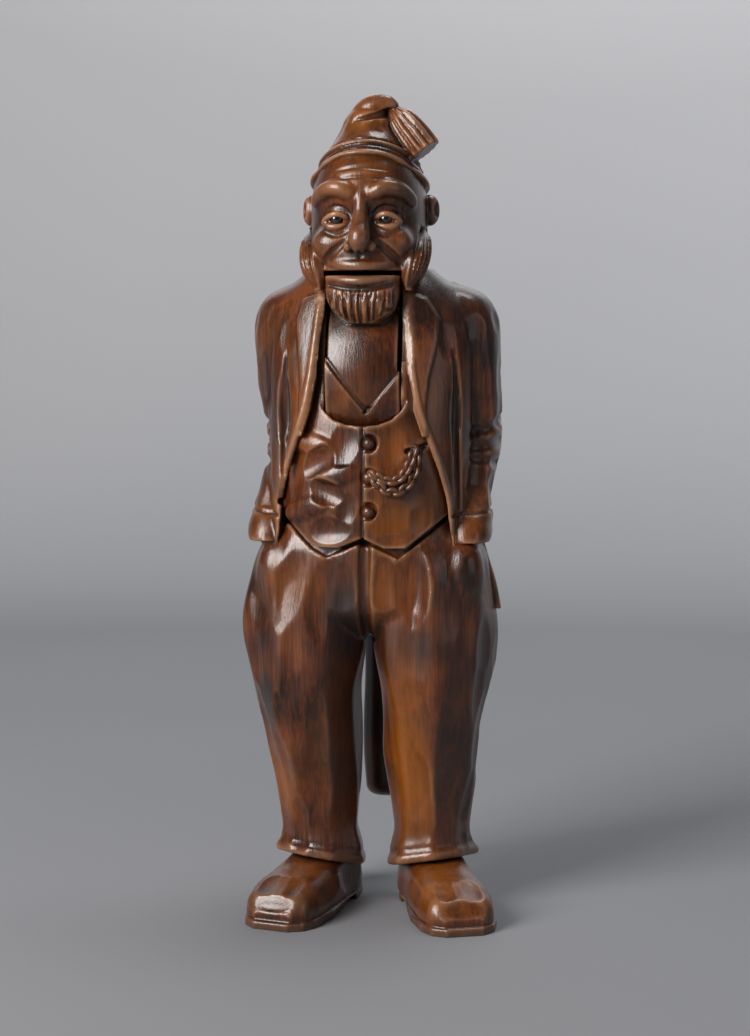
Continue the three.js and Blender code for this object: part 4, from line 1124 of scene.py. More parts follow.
def carve_sleeve(block, side, rng):
    # Groove that sets the arm off from the chest, before and behind.
    inner = -20.4 if side < 0 else 23.0
    before = ((-1.0, 143), (0, 132), (0, 118), (0.3, 105), (0, 97))
    behind = ((-0.5, 146), (0, 130), (0, 112), (0, 98))
    line = [(inner + side * out, z) for out, z in before]
    block.front_groove(line, 2.4, 1.7, taper=0.7, blend=0.3)
    line = [(inner + side * out, 0, z) for out, z in behind]
    block.groove(line, FORWARD, 2.2, 1.5, taper=0.6, blend=0.3)
    # Flat cuts down the sleeve.
    stations = arm(side)
    levels, middles, backs = list(zip(*stations))[:3]
    for level in (147, 136, 126, 112, 104):
        for angle in (-2.2, -1.35, -0.5, 0.4, 1.2):
            z = level + rng.uniform(-3, 3)
            middle = np.array([np.interp(z, levels, middles), np.interp(z, levels, backs), z])
            heading = np.array([-side * math.cos(angle), -math.sin(angle), 0])
            size = rng.uniform(11, 17), rng.uniform(5.5, 8), rng.uniform(0.4, 0.75)
            block.stroke(middle - heading * 30, heading, (0.05, 0.05, 1), *size, hollow=60)
    # Folds at the elbow, and the cuff with its edge.
    inward = (-side, 0, 0)
    for level, slope, depth in ((124.0, 2.6, 1.0), (119.2, 1.6, 1.2), (114.6, -1.2, 0.9)):
        fold = [(40, -6.5, level - slope), (40, -1, level), (40, 6, level + slope * 0.6)]
        block.groove(mirrored(fold, side), inward, 2.8, depth * 0.6, taper=0.8, blend=1.2)
    x, y = stations[1][1:3]
    cuff = (
        (94.8, x + side * 0.3, y - 1.9, 5.4, 7.6, 7.2),
        (97.0, x + side * 0.3, y - 0.8, 5.9, 8.2, 7.8),
        (99.8, x + side * 0.1, y + 0.4, 5.8, 8.1, 8.0),
        (103.0, x, y + 1.6, 4.8, 7.2, 7.4),
    )
    block.add(loft(cuff, SLEEVE_ROUND), 0.3)
    edge = [(40, -14, 101.6), (40, -4, 102.6), (40, 8, 103.4)]
    block.groove(mirrored(edge, side), inward, 1.0, 0.5)


def carve_coat(step):
    block = Block((-34, -25, 73), (36, 26, 168), step)
    block.add(loft(TORSO, grow=COAT_THICKNESS))
    collar = (
        (154, 0.2, 1, 14.6, 10.5, 14.6),
        (159, 0.2, 1.6, 13.4, 9.5, 13.6),
        (163.4, 0.2, 2.2, 12.8, 8, 12.6),
    )
    block.add(loft(collar), 1.2)
    # Tails behind, with the front half left to the trousers.
    tails = (
        (77, 0.9, 0, 32.3, 12, 22.4),
        (83, 0.9, 0, 31.2, 12, 21.9),
        (91, 0.7, 0, 29.0, 12, 21.2),
        (104, 0.5, 0, 25.6, 12, 19.6),
    )
    back_half = side_slab([(0.5, 70), (FAR, 70), (FAR, 130), (0.5, 130)], FAR)
    block.add(both_of(loft(tails, 2.4), back_half), 0.5)
    fronts = [*COAT_EDGE, (30, 72), (-30, 72), *mirrored(COAT_EDGE, -1)[::-1]]
    block.cut(front_slab(fronts, BEFORE, -7.5), 0.35)
    block.cut(front_slab([(-40, 60), (40, 60), (40, 93), (-40, 93)], BEFORE, 0.5), 0.2)
    for side in SIDES:
        add_lapel(block, side)
    for side in SIDES:
        block.add(loft(arm(side), SLEEVE_ROUND), 0.5)
        shoulder = -20.6 if side < 0 else 22.4
        block.add(egg((shoulder, 2.5, 149.6), (8.6, 9.4, 8.8)), 4.5)
    rng = np.random.default_rng(11)
    for side in SIDES:
        carve_sleeve(block, side, rng)
    # Back: its seam and vent, and flat cuts.
    block.groove([(0, 0, 110), (0, 0, 94), (0, 0, 76)], FORWARD, 1.3, 0.9)
    for side in SIDES:
        for level in (150, 138, 125, 112, 98, 86):
            for across in (12.5, 19.0):
                start = (side * (across + rng.uniform(-1, 1)), FAR, level + rng.uniform(-3, 3))
                size = rng.uniform(13, 18), rng.uniform(6, 9), rng.uniform(0.4, 0.7)
                block.stroke(start, FORWARD, UP, *size, hollow=50)
    # Breast: soft cuts beside the lapels.
    for x, z in ((-19.6, 146), (20.6, 145), (-20.4, 128), (22.0, 127), (-23.0, 113), (25.0, 112)):
        block.front_stroke(x, z, UP, 16, 6, 0.5, hollow=40)
    for form in lever_slot():
        block.cut(form)
    room = front_slab([(-30, 96), (30, 96), (30, 138), (-30, 138)], BEFORE, -7.5)
    block.cut(both_of(loft(TORSO, grow=-3.0), room))
    block.cut(pin_bore())
    return block


# Head

HEAD = (
    (151, 0, -2.5, 12.0, 11.2, 11.6),
    (157.2, 0, -2.5, 13.4, 14.9, 13.4),
    (162, 0, -2.5, 14.1, 18.0, 14.8),
    (168, 0, -2.5, 14.5, 18.6, 15.6),
    (174.5, 0, -2.5, 14.4, 17.1, 15.8),
    (180, 0, -2.5, 14.2, 18.2, 15.8),
    (188, 0, -2.5, 12.0, 15.9, 13.6),
    (195, 0, -2.5, 7.0, 9.2, 8.8),
    (198, 0, -2.5, 2.6, 3.4, 3.4),
)
EYE_LEVEL = 174.5
EYE_SPREAD = 6.0
# Whisker tufts, combed down and out.
TUFT = (
    (157.2, 11.3, -15.2, 0.9, 1.2, 1.5),
    (159.8, 11.9, -14.9, 2.5, 2.9, 4.2),
    (163.4, 12.6, -13.8, 3.3, 4.4, 6.0),
    (167.2, 13.2, -11.4, 3.2, 4.9, 6.2),
    (170.4, 13.6, -8.8, 2.3, 4.0, 4.6),
    (172.6, 13.8, -6.6, 0.9, 1.8, 2.0),
)


def carve_eye(block, side):
    """Socket, eyeball bored for the bead, and half-closed lids."""
    x0 = side * EYE_SPREAD
    block.cut(egg((x0, -22.4, EYE_LEVEL + 0.6), (4.6, 4.0, 3.2)), 2.4)
    block.add(egg((x0, -16.4, EYE_LEVEL - 0.1), (3.2, 3.2, 2.5)), 0.5)
    block.cut(capsule((x0, -12, EYE_LEVEL), (x0, -30, EYE_LEVEL), 1.54, 1.54))

    def lid(*points):
        """A line bent round the eyeball. A third number moves its point ahead."""
        line = []
        for x, z, *ahead in points:
            line.append((side * x, -19.5 - sum(ahead) + 0.14 * (x - EYE_SPREAD) ** 2, z))
        return line

    upper = lid((2.8, 173.8), (4.2, 175.1), (6.0, 175.6, 0.2), (7.9, 175.1), (9.4, 173.8))
    lower = lid((3.0, 173.6), (4.4, 172.9), (6.0, 172.6), (7.7, 172.8), (9.2, 173.6))
    block.rope(curve(upper, 0.4), 0.55, 0.4)
    block.rope(curve(lower, 0.4), 0.36, 0.5)
    crease = lid((2.8, 175.6), (4.4, 177.2), (6.2, 177.6), (8.4, 176.9), (10.2, 175.0))
    block.groove(crease, BACKWARD, 0.7, 0.3, spacing=0.4, taper=0.6, blend=0.3)


def carve_cheek(block, side):
    """Brow, cheek, wing of the nose, the folds beside it and the ear."""
    brow = [(2.8, -20.0, 180.6), (5.8, -19.6, 181.9), (9, -17.6, 181.4), (12, -13.4, 178.7)]
    block.strand(mirrored(brow, side), 0.8, [0, 0.4, 1], [0.6, 0.85, 0.5], 2.2)
    block.add(egg((side * 7.6, -16.4, 168.6), (4.6, 3.8, 3.8)), 2.4)
    block.add(egg((side * 2.5, -21.7, 167.8), (1.5, 1.8, 1.4)), 0.6)
    fold = [(3.9, 169.0), (6.2, 167.0), (8.6, 164.6), (9.9, 162.8)]
    block.front_groove(mirrored(fold, side), 1.8, 0.6, taper=0.6, blend=0.7)
    pouch = [(3.2, 171.5), (6.0, 170.4), (9.2, 171.5)]
    block.front_groove(mirrored(pouch, side), 1.0, 0.3, taper=0.8, blend=0.5)
    block.add(egg((side * 15.0, -0.4, 177.4), (2.4, 2.7, 3.9)), 0.6)
    block.cut(egg((side * 17.4, -1.6, 177.6), (1.5, 1.6, 2.4)), 0.3)


def carve_head(step):
    block = Block((-20, -27, 150), (20, 15, 193), step)
    block.add(loft(HEAD))
    for side in SIDES:
        carve_eye(block, side)
        carve_cheek(block, side)
    nose = (
        (0, -19.4, 180.0),
        (0, -20.4, 176),
        (0, -22.3, 171.5),
        (0, -23.8, 168.9),
        (0, -22.4, 167.2),
    )
    block.strand(nose, 0.8, [0, 0.35, 0.78, 1], [1.3, 1.4, 2.3, 1.2], 1.1)
    for side in SIDES:
        block.cut(egg((side * 1.7, -22.8, 166.5), (0.75, 1.0, 0.6)), 0.25)
    # Upper lip over the slot, drawn up at its ends.
    lip = [(-9.4, -14.4, 164.6), (-5.4, -18.8, 163.6), (0, -20.4, 163.1)]
    block.strand(lip + mirrored(lip[1::-1], -1), 0.7, [0, 0.5, 1], [0.8, 1.25, 0.8], 0.9)
    block.front_groove([(0, 166.4), (0, 164.8)], 1.4, 0.35, taper=0.4, blend=0.4)
    for level, across in ((184.2, 8.0), (186.6, 6.5)):
        wrinkle = [(-across, level - 0.5), (0, level + 0.3), (across, level - 0.5)]
        block.front_groove(wrinkle, 1.0, 0.2, taper=0.8, blend=0.4)
    # Hair down the nape.
    for i, across in enumerate(np.linspace(-13, 13, 17)):
        bend = 0.8 * math.sin(i * 2.1)
        line = [(across, 0, 181), (across + bend, 0, 170), (across * 0.92, 0, 157)]
        block.groove(line, FORWARD, 1.0, 0.55, taper=0.3)
    for side in SIDES:
        tuft = [(z, side * x, *rest) for z, x, *rest in TUFT]
        block.add(egg((side * 10.6, -10.6, 165.6), (4.6, 5.2, 7.0)), 2.0)
        block.add(loft(tuft, 2.0), 1.6)
        for line in combed(tuft, side * np.linspace(-0.15, 2.9, 10), side * 0.12):
            radii = 0.5 * np.minimum(1, np.linspace(0.9, 3.2, len(line)))
            block.rope(line, radii, cutting=True)
    block.cut(lever_slot()[1])
    # The cap covers the crown.
    room = (-20, -30, 165), (20, 20, 200)
    block.cut(within(*room, lambda x, y, z: 1.5 - cap_height(y, z)))
    return block


# Cap

# How far back, and the level of the cap's lower edge there.
CAP_EDGE = (
    (-24, 193.4), (-20, 191.6), (-17, 190.0), (-13, 187.6), (-8, 185.3), (-2, 183.4), (6, 181.2),
    (14, 178.0),
)


def cap_height(y, z):
    """Height above the cap's lower edge, which runs down from the brow to the nape."""
    back, level = zip(*CAP_EDGE)
    return z - flowing(back, level, np.clip(y, back[0], back[-1]))


def tassel():
    """A flared bundle of strands with a square end."""
    start, end = np.array([6.4, -6.2, 201.4]), np.array([14.3, -7.6, 191.2])
    along = unit(end - start)
    across = unit(np.cross(along, BACKWARD))
    deep = np.cross(along, across)
    length = float(np.linalg.norm(end - start))

    def distance(x, y, z):
        x, y, z = x - start[0], y - start[1], z - start[2]
        t, u, v = (along_axis(axis, x, y, z) for axis in (along, across, deep))
        radius = flowing([-2, 0, 3, 8, length], [1.2, 2.2, 3.5, 4.3, 4.4], np.clip(t, -2, length))
        turn = np.arctan2(v, u)
        ridge = 0.75 * np.abs(np.sin(6 * turn + 0.5)) * np.clip((t + 0.5) / 3, 0, 1)
        gap = (np.sqrt(u * u + (v * 1.15) ** 2) - radius - ridge + 0.55) * 0.85
        return np.maximum(gap, np.maximum(-2 - t, t - length))

    return within(np.minimum(start, end) - 6.5, np.maximum(start, end) + 6.5, distance)


def carve_cap(step):
    block = Block((-17, -23, 172), (19, 17, 207), step)
    crown = (
        (173.5, 0, -5.0, 15.0, 17.4, 17.6),
        (180.5, 0, -4.0, 15.0, 18.0, 17.6),
        (184.0, 0, -3.4, 14.3, 17.5, 16.6),
        (187.0, 0, -2.8, 13.0, 16.9, 15.8),
        (190.5, 0.1, -2.4, 11.2, 15.2, 14.0),
        (194.0, 0.2, -2.6, 9.2, 11.4, 11.8),
        (197.0, 0.2, -3.0, 7.4, 8.5, 9.4),
        (199.4, 0.3, -3.4, 6.4, 7.0, 7.8),
        (201.6, 0.6, -3.6, 5.0, 5.6, 5.6),
        (203.4, 1.4, -3.6, 3.0, 3.2, 3.0),
    )
    block.add(loft(crown, 2.05))
    room = (-20, -30, 165), (20, 20, 206)

    def band(height, half):
        return within(*room, lambda x, y, z: np.abs(cap_height(y, z) - height) - half)

    block.cut(within(*room, lambda x, y, z: cap_height(y, z)), 0.3)
    # Two raised rims: one along the lower edge, one above it.
    for height, half, lift in ((0.6, 0.75, 0.65), (5.0, 0.6, 0.7)):
        block.lift(band(height, half), lift, 0.5)
    for height in (1.9, 3.8, 6.1):
        block.sink(band(height, 0.4), 0.35, 0.1)
    # The tip, folded over to the left, with a deep crease below the fold.
    fold = (
        (-1.6, -4.4, 199.6),
        (0.6, -5.4, 201.6),
        (2.8, -6.0, 202.7),
        (4.8, -6.2, 203.2),
        (6.2, -6.2, 202.6),
    )
    block.strand(fold, 0.6, [0, 0.35, 0.7, 1], [3.4, 3.5, 2.5, 1.5], 0.5)
    crease = (
        (-2.6, -9.9, 199.0),
        (0.4, -10.2, 199.6),
        (3.2, -9.4, 200.3),
        (5.4, -7.6, 200.8),
        (6.6, -5.6, 200.8),
    )
    crease = curve(crease, 0.5)
    block.rope(crease, np.linspace(0.4, 1.5, len(crease)), 0.15, cutting=True)
    block.add(tassel(), 0.2)
    # Knife marks on the cone.
    rng = np.random.default_rng(5)
    for level, width in ((188.5, 6.0), (197.6, 4.0)):
        for i in range(9):
            angle = 2 * math.pi * (i + 0.4 * rng.random()) / 9
            heading = np.array([-math.cos(angle), -math.sin(angle), 0])
            start = np.array([0, -3, level + rng.uniform(-0.8, 0.8)]) - heading * 30
            block.stroke(start, heading, UP, 7, width, 0.2, hollow=30)
    # Room for the head.
    block.cut(loft([(z, x, y, w - 3, f - 3, b - 3) for z, x, y, w, f, b in HEAD[4:8]]))
    return block


# Jaw and handle

JAW_FRONT = -16.08
BEARD = (
    (149.2, 0.3, JAW_FRONT, 4.2, 2.9, 4.2),
    (151.4, 0.3, JAW_FRONT, 7.0, 5.8, 4.2),
    (154.6, 0.1, JAW_FRONT, 8.7, 6.6, 4.2),
    (157.0, 0, JAW_FRONT, 9.1, 6.2, 4.2),
    (159.2, 0, JAW_FRONT, 9.2, 5.2, 4.2),
    (160.8, 0, JAW_FRONT, 9.2, 5.0, 4.2),
)


def comb_beard(block):
    """Three rows of strands: short ones below the lip, long ones, and fine ones at the tips."""
    rng = np.random.default_rng(3)
    for i, across in enumerate(np.linspace(-8.2, 8.2, 17)):
        top = 157.2 - 0.8 * (i % 2) + rng.uniform(-0.5, 0.5)
        tip = across * 0.97 + rng.uniform(-0.4, 0.4)
        line = [(across, top), (tip, 154.4 + rng.uniform(-0.6, 0.6))]
        block.front_groove(line, 0.8, 0.35, spacing=0.4, taper=0.5)
    for across in np.linspace(-7.4, 7.6, 9):
        across += rng.uniform(-0.35, 0.35)
        line = [
            (across * 1.02, 155.4 + rng.uniform(-0.8, 0.6)),
            (across * 0.98, 152.6),
            (across * 0.84, 149.2 + 0.05 * across**2),
        ]
        width, depth = rng.uniform(0.9, 1.3), rng.uniform(0.5, 0.75)
        block.front_groove(line, width, depth, spacing=0.4, taper=0.35)
    for across in np.linspace(-6.2, 6.6, 7):
        across += rng.uniform(-0.4, 0.4)
        line = [(across, 153.0), (across * 0.9, 149.6 + 0.05 * across**2)]
        block.front_groove(line, 0.6, 0.35, spacing=0.4, taper=0.3)


def carve_jaw(step):
    block = Block((-10, -26, 111), (10, 16, 162), step)
    y, z = PIVOT[1:]
    floor_back = y + (MOUTH_BACK - y) * 0.9
    front = [(JAW_FRONT, JAW_TOP - 12), (JAW_FRONT, NUT_FLOOR)]
    core = [(y, z), *front, (floor_back - 1.2, NUT_FLOOR)]
    block.add(side_slab(core, JAW_HALF_WIDTH))
    corner = ((9.6, 158.0), (8.8, 154.8), (7.4, 152.0), (5.2, 150.0), (3.0, 148.6), (9.6, 148.6))
    for side in SIDES:
        block.cut(front_slab(mirrored(corner, side), BEFORE, -12.8), 0.3)
    sector = [
        (y + 1.8, z - HUB_RADIUS),
        (y - SHIRT_RADIUS * 0.75, z - SHIRT_RADIUS * 0.9),
        (y - FAR, z),
        (y - SHIRT_RADIUS, NUT_FLOOR),
        (floor_back, NUT_FLOOR),
        (y, z),
    ]
    shirt = barrel(SHIRT_RADIUS, SHIRT_CROWN, JAW_HALF_WIDTH)
    block.add(both_of(shirt, side_slab(sector, FAR)))
    # Shirt: a crossed V with its left edge over its right.
    inside = [(-9.9, 142), (1.0, 128.2), (10.2, 139.0), (10.2, 157), (-9.9, 157)]
    block.sink(front_slab(inside, BEFORE, 0), 0.55, 0.1)
    block.front_groove([(-9.6, 141.6), (-4.4, 134.6), (1.2, 128.0)], 1.2, 0.75, spacing=0.6)
    block.front_groove([(10.0, 138.8), (5.6, 133.2), (0.6, 127.4)], 1.0, 0.65, spacing=0.6)
    for x, level, slope in ((-6.5, 130, 0.9), (6.6, 129.6, -0.9)):
        block.front_stroke(x, level, (slope, 0, 1), 13, 7, 0.3, hollow=150)
    # Beard below the lip.
    block.add(loft(BEARD, 2.5), 0.3)
    lip = [(-7.4, -18.6, 160.0), (-4.0, -20.6, 159.6), (0, -21.4, 159.4)]
    block.strand(lip + mirrored(lip[1::-1], -1), 0.6, [0, 0.5, 1], [0.7, 1.1, 0.7], 0.5)
    below = [(-8, 158.4), (-4, 157.7), (0, 157.5), (4, 157.7), (8, 158.4)]
    block.front_groove(below, 1.1, 0.6, taper=0.3, blend=0.3)
    comb_beard(block)
    # Room for the nut, the hub and the pin.
    nut = [(LIP_BACK, NUT_FLOOR), (FAR, NUT_FLOOR), (FAR, 170), (LIP_BACK, 170)]
    block.cut(side_slab(nut, FAR), 0.4)
    block.cut(egg((0, -8.2, NUT_FLOOR + 7.4), (8.2, 8.2, 9.2)), 0.3)
    block.add(barrel(HUB_RADIUS, 0.0, JAW_HALF_WIDTH))
    block.cut(pin_bore())
    whole = [(-FAR, 100), (FAR, 100), (FAR, JAW_TOP), (-FAR, JAW_TOP)]
    block.keep(side_slab(whole, JAW_HALF_WIDTH))
    return block


# Back and foot of the handle. Along it: shares of the way back and down, half width, half depth.
HANDLE_BACK, HANDLE_FOOT = 33.0, 25.0
HANDLE = (
    (0.07, 0.01, 9.1, 7.0),
    (0.6, 0.08, 8.8, 6.5),
    (0.9, 0.21, 6.7, 5.3),
    (1, 0.41, 5.9, 4.5),
    (1, 0.7, 5.7, 4.3),
    (0.95, 0.95, 5.7, 4.2),
    (0.94, 1.0, 5.2, 3.8),
)


def handle_bar(low, high):
    """The bent bar, wider than it is deep, that thins towards its foot."""
    y0, z0 = PIVOT[1:]
    back, down = HANDLE_BACK - y0, HANDLE_FOOT - z0
    path = [(y0 + back * b, z0 + down * d, *half) for b, d, *half in HANDLE]
    points = curve(path, 1.5).astype(np.float32)

    def distance(x, y, z):
        best = np.full(np.broadcast(y, z).shape, 1e6, np.float32)
        half, deep = np.ones_like(best), np.ones_like(best)
        for a, b in zip(points[:-1], points[1:]):
            run = b[:2] - a[:2]
            t = np.clip(((y - a[0]) * run[0] + (z - a[1]) * run[1]) / max(run @ run, 1e-6), 0, 1)
            gap = np.sqrt((y - a[0] - t * run[0]) ** 2 + (z - a[1] - t * run[1]) ** 2)
            nearer = gap < best
            best = np.where(nearer, gap, best)
            half = np.where(nearer, a[2] + (b[2] - a[2]) * t, half)
            deep = np.where(nearer, a[3] + (b[3] - a[3]) * t, deep)
        share = (np.abs(x) / half) ** HANDLE_ROUND + (best / deep) ** HANDLE_ROUND
        return (share ** (1 / HANDLE_ROUND) - 1) * np.minimum(half, deep)

    return within(low, high, distance)


def carve_handle(step):
    box = (-10, -2, 16), (10, 40, 148)
    block = Block(*box, step)
    block.add(handle_bar(*box))
    block.add(barrel(HUB_RADIUS - 0.2, 0.0, JAW_HALF_WIDTH - 0.1), 0.5)
    rng = np.random.default_rng(17)
    # Flat cuts from behind, from the sides and from between them.
    cuts = (
        (FORWARD, (0, FAR)),
        ((-1, 0, 0), (FAR, HANDLE_BACK)),
        ((1, 0, 0), (-FAR, HANDLE_BACK)),
        ((-0.7, -0.7, 0), (FAR, HANDLE_BACK + FAR)),
        ((0.7, -0.7, 0), (-FAR, HANDLE_BACK + FAR)),
    )
    for level in np.arange(28, 118, 13.0):
        for heading, start in cuts:
            start = (*start, level + rng.uniform(-4, 4))
            size = rng.uniform(14, 19), rng.uniform(4.5, 6), 0.3
            block.stroke(start, unit(heading), (0, 0.05, 1), *size, hollow=60)
    block.cut(pin_bore())
    block.keep(side_slab([(-2, 10), (FAR, 10), (FAR, 150), (-2, 150)], JAW_HALF_WIDTH))
    return block


# Small turned pieces


def turned(profile, place, sides=32):
    """Points and faces of a profile of (radius, distance ahead) turned about a line along -Y."""
    points, faces = [], []
    for radius, ahead in profile:
        for i in range(sides):
            angle = 2 * math.pi * i / sides
            x, z = radius * math.cos(angle), radius * math.sin(angle)
            points.append((place[0] + x, place[1] - ahead, place[2] + z))
    for row in range(len(profile) - 1):
        for i in range(sides):
            j = (i + 1) % sides
            a, b = row * sides, (row + 1) * sides
            faces.append((a + i, a + j, b + j, b + i))
    faces.append(tuple(reversed(range(sides))))
    last = (len(profile) - 1) * sides
    faces.append(tuple(range(last, last + sides)))
    return points, faces


def seat_of(node, dome):
    """Where a turned piece sits: behind the front of its node by the height of its dome."""
    low, high = (np.array(corner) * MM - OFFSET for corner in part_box(node))
    return ((low[0] + high[0]) / 2, low[1] + dome, (low[2] + high[2]) / 2)


# Settings

COLOUR = {"subtype": "COLOR", "size": 3, "min": 0, "max": 1}
SHARE = {"subtype": "FACTOR", "min": 0, "max": 1}
POWER = {"unit": "POWER", "min": 0, "max": 100}


class NutcrackerStain(bpy.types.PropertyGroup):
    """Stain and varnish"""

    dark: FloatVectorProperty(
        name="Dark stain", description="Darkest grain", default=(0.013, 0.0043, 0.0016), **COLOUR
    )
    middle: FloatVectorProperty(
        name="Middle stain",
        description="Most of the wood",
        default=(0.070, 0.0158, 0.0030),
        **COLOUR,
    )
    light: FloatVectorProperty(
        name="Light stain", description="Lightest grain", default=(0.146, 0.0380, 0.0065), **COLOUR
    )
    amber: FloatVectorProperty(
        name="Amber", description="Where the stain is thin", default=(0.31, 0.094, 0.008), **COLOUR
    )
    worn: FloatVectorProperty(
        name="Worn edge", description="Edges rubbed pale", default=(0.39, 0.195, 0.098), **COLOUR
    )
    # Colour of the hollows and dark patches, which is gathered stain and painted shade.
    recess_stain_and_shade: FloatVectorProperty(
        name="Recess",
        description="Stain gathered in hollows",
        default=(0.006, 0.0028, 0.0018),
        **COLOUR,
    )
    varnish: FloatProperty(
        name="Varnish", description="Weight of the varnish coat", default=0.6, **SHARE
    )
    varnish_roughness: FloatProperty(
        name="Varnish roughness", description="Dullness of the varnish", default=0.25, **SHARE
    )
    bead: FloatVectorProperty(
        name="Eye bead",
        description="Dark glass of the eyes",
        default=(0.006, 0.005, 0.0045),
        **COLOUR,
    )
    steel: FloatVectorProperty(
        name="Pin steel", description="Bare steel of the pin", default=(0.42, 0.41, 0.40), **COLOUR
    )


class NutcrackerCarving(bpy.types.PropertyGroup):
    """How finely each piece is carved"""

    fine: FloatProperty(
        name="Fine grid",
        description="Grid of head, cap and jaw, in millimetres",
        min=0.2,
        max=1.5,
        default=0.3,
    )
    medium: FloatProperty(
        name="Medium grid",
        description="Grid of waistcoat and shoes, in millimetres",
        min=0.2,
        max=2,
        default=0.38,
    )
    coarse: FloatProperty(
        name="Coarse grid",
        description="Grid of coat, trousers and handle, in millimetres",
        min=0.3,
        max=2,
        default=0.515,
    )
    chain_links: IntProperty(
        name="Chain links",
        description="Links in each strand of the watch chain",
        min=4,
        max=60,
        default=13,
    )
    chain_wire: FloatProperty(
        name="Chain wire",
        description="Half the thickness of a link",
        unit="LENGTH",
        min=0.0001,
        max=0.002,
        default=0.00064,
    )


class NutcrackerStage(bpy.types.PropertyGroup):
    """Floor, lamps and camera"""

    floor: FloatVectorProperty(
        name="Floor", description="Colour of the floor", default=(0.215, 0.223, 0.240), **COLOUR
    )
    backdrop: FloatVectorProperty(
        name="Backdrop",
        description="Colour where the floor rises",
        default=(0.86, 0.87, 0.90),
        **COLOUR,
    )
    key: FloatProperty(
        name="Key lamp",
        description="Power of the large lamp at the upper left",
        default=11.0,
        **POWER,
    )
    fill: FloatProperty(
        name="Fill lamp", description="Power of the weak lamp at the right", default=0.5, **POWER
    )
    sky: FloatProperty(
        name="Surroundings",
        description="Strength of the even light round the figure",
        min=0,
        max=2,
        default=0.09,
    )


# Operators


def figure_piece(name, block):
    """A piece of the figure's one block of wood."""
    wood = bpy.data.materials.get("figure_wood_varnished") or stained_wood("figure_wood_varnished")
    return wooden(name, block, "figure", ["figure_body"], wood)


def jaw_piece(name, block, wood):
    """A piece of the jaw lever."""
    return wooden(name, block, "jaw", ["jaw_lever"], wood)


class NUTCRACKER_OT_trousers(bpy.types.Operator):
    """Carve the trousers"""

    bl_idname = "nutcracker.trousers"
    bl_label = "Trousers"

    def execute(self, context):
        carving = context.scene.nutcracker_carving
        figure_piece("trousers", carve_trousers(carving.coarse))
        return {"FINISHED"}


class NUTCRACKER_OT_shoes(bpy.types.Operator):
    """Carve the shoes"""

    bl_idname = "nutcracker.shoes"
    bl_label = "Shoes"

    def execute(self, context):
        carving = context.scene.nutcracker_carving
        figure_piece("shoes", carve_shoes(carving.medium))
        return {"FINISHED"}


class NUTCRACKER_OT_waistcoat(bpy.types.Operator):
    """Carve the waistcoat"""

    bl_idname = "nutcracker.waistcoat"
    bl_label = "Waistcoat"

    def execute(self, context):
        carving = context.scene.nutcracker_carving
        figure_piece("waistcoat", carve_waistcoat(carving.medium))
        return {"FINISHED"}


def rub_and_highlight_front_edges(mesh, points):
    """Pales the coat's front edges, more towards the top: wear with a painted highlight."""
    across, level = zip(*COAT_EDGE[::-1])
    away = np.abs(points[:, 0]) - np.interp(points[:, 2], level, across) - 0.6
    rubbed_and_highlit = np.exp(-((away / 0.95) ** 2)) * (points[:, 1] < -8)
    rubbed_and_highlit = rubbed_and_highlit * np.clip((points[:, 2] - 104) / 10, 0, 1)
    attribute(mesh, "worn", np.maximum(attribute_of(mesh, "worn"), 0.95 * rubbed_and_highlit))


class NUTCRACKER_OT_coat(bpy.types.Operator):
    """Carve the coat with its sleeves, lapels and tails"""

    bl_idname = "nutcracker.coat"
    bl_label = "Coat"

    def execute(self, context):
        carving = context.scene.nutcracker_carving
        made = figure_piece("coat", carve_coat(carving.coarse))
        rub_and_highlight_front_edges(made.data, carved["coat"][1])
        return {"FINISHED"}


class NUTCRACKER_OT_head(bpy.types.Operator):
    """Carve the head with its whiskers"""

    bl_idname = "nutcracker.head"
    bl_label = "Head"

    def execute(self, context):
        carving = context.scene.nutcracker_carving
        figure_piece("head", carve_head(carving.fine))
        return {"FINISHED"}


class NUTCRACKER_OT_cap(bpy.types.Operator):
    """Carve the stocking cap and its tassel"""

    bl_idname = "nutcracker.cap"
    bl_label = "Cap"

    def execute(self, context):
        carving = context.scene.nutcracker_carving
        figure_piece("cap", carve_cap(carving.fine))
        return {"FINISHED"}


class NUTCRACKER_OT_jaw(bpy.types.Operator):
    """Carve the beard and shirt front of the jaw lever"""

    bl_idname = "nutcracker.jaw"
    bl_label = "Jaw"

    def execute(self, context):
        carving = context.scene.nutcracker_carving
        jaw_piece("jaw_front", carve_jaw(carving.fine), stained_wood("jaw_wood_varnished", 0.9))
        return {"FINISHED"}


class NUTCRACKER_OT_handle(bpy.types.Operator):
    """Carve the handle of the jaw lever"""

    bl_idname = "nutcracker.handle"
    bl_label = "Handle"

    def execute(self, context):
        carving = context.scene.nutcracker_carving
        # The handle's wood is darkened as painted shade, for the lever that stands in shadow behind
        # the legs.
        wood = stained_wood("handle_wood_varnished_shaded", 0.38)
        jaw_piece("jaw_handle", carve_handle(carving.coarse), wood)
        return {"FINISHED"}


# Radius and distance ahead of the seat, from the shank's tail to the top of the dome.
BUTTON_PROFILE = (
    (0.8, -5), (0.8, -0.1), (1.15, -0.05), (1.45, 0.1), (1.5, 0.3), (1.42, 0.55), (1.2, 0.82),
    (0.85, 1.1), (0.45, 1.28), (0.12, 1.34),
)
BUTTON_DOME = 1.35
EYE_PROFILE = (
    (1.5, -4), (1.5, -0.05), (1.46, 0.16), (1.32, 0.42), (1.06, 0.65), (0.7, 0.8), (0.35, 0.86),
    (0.08, 0.87),
)
EYE_DOME = 0.87


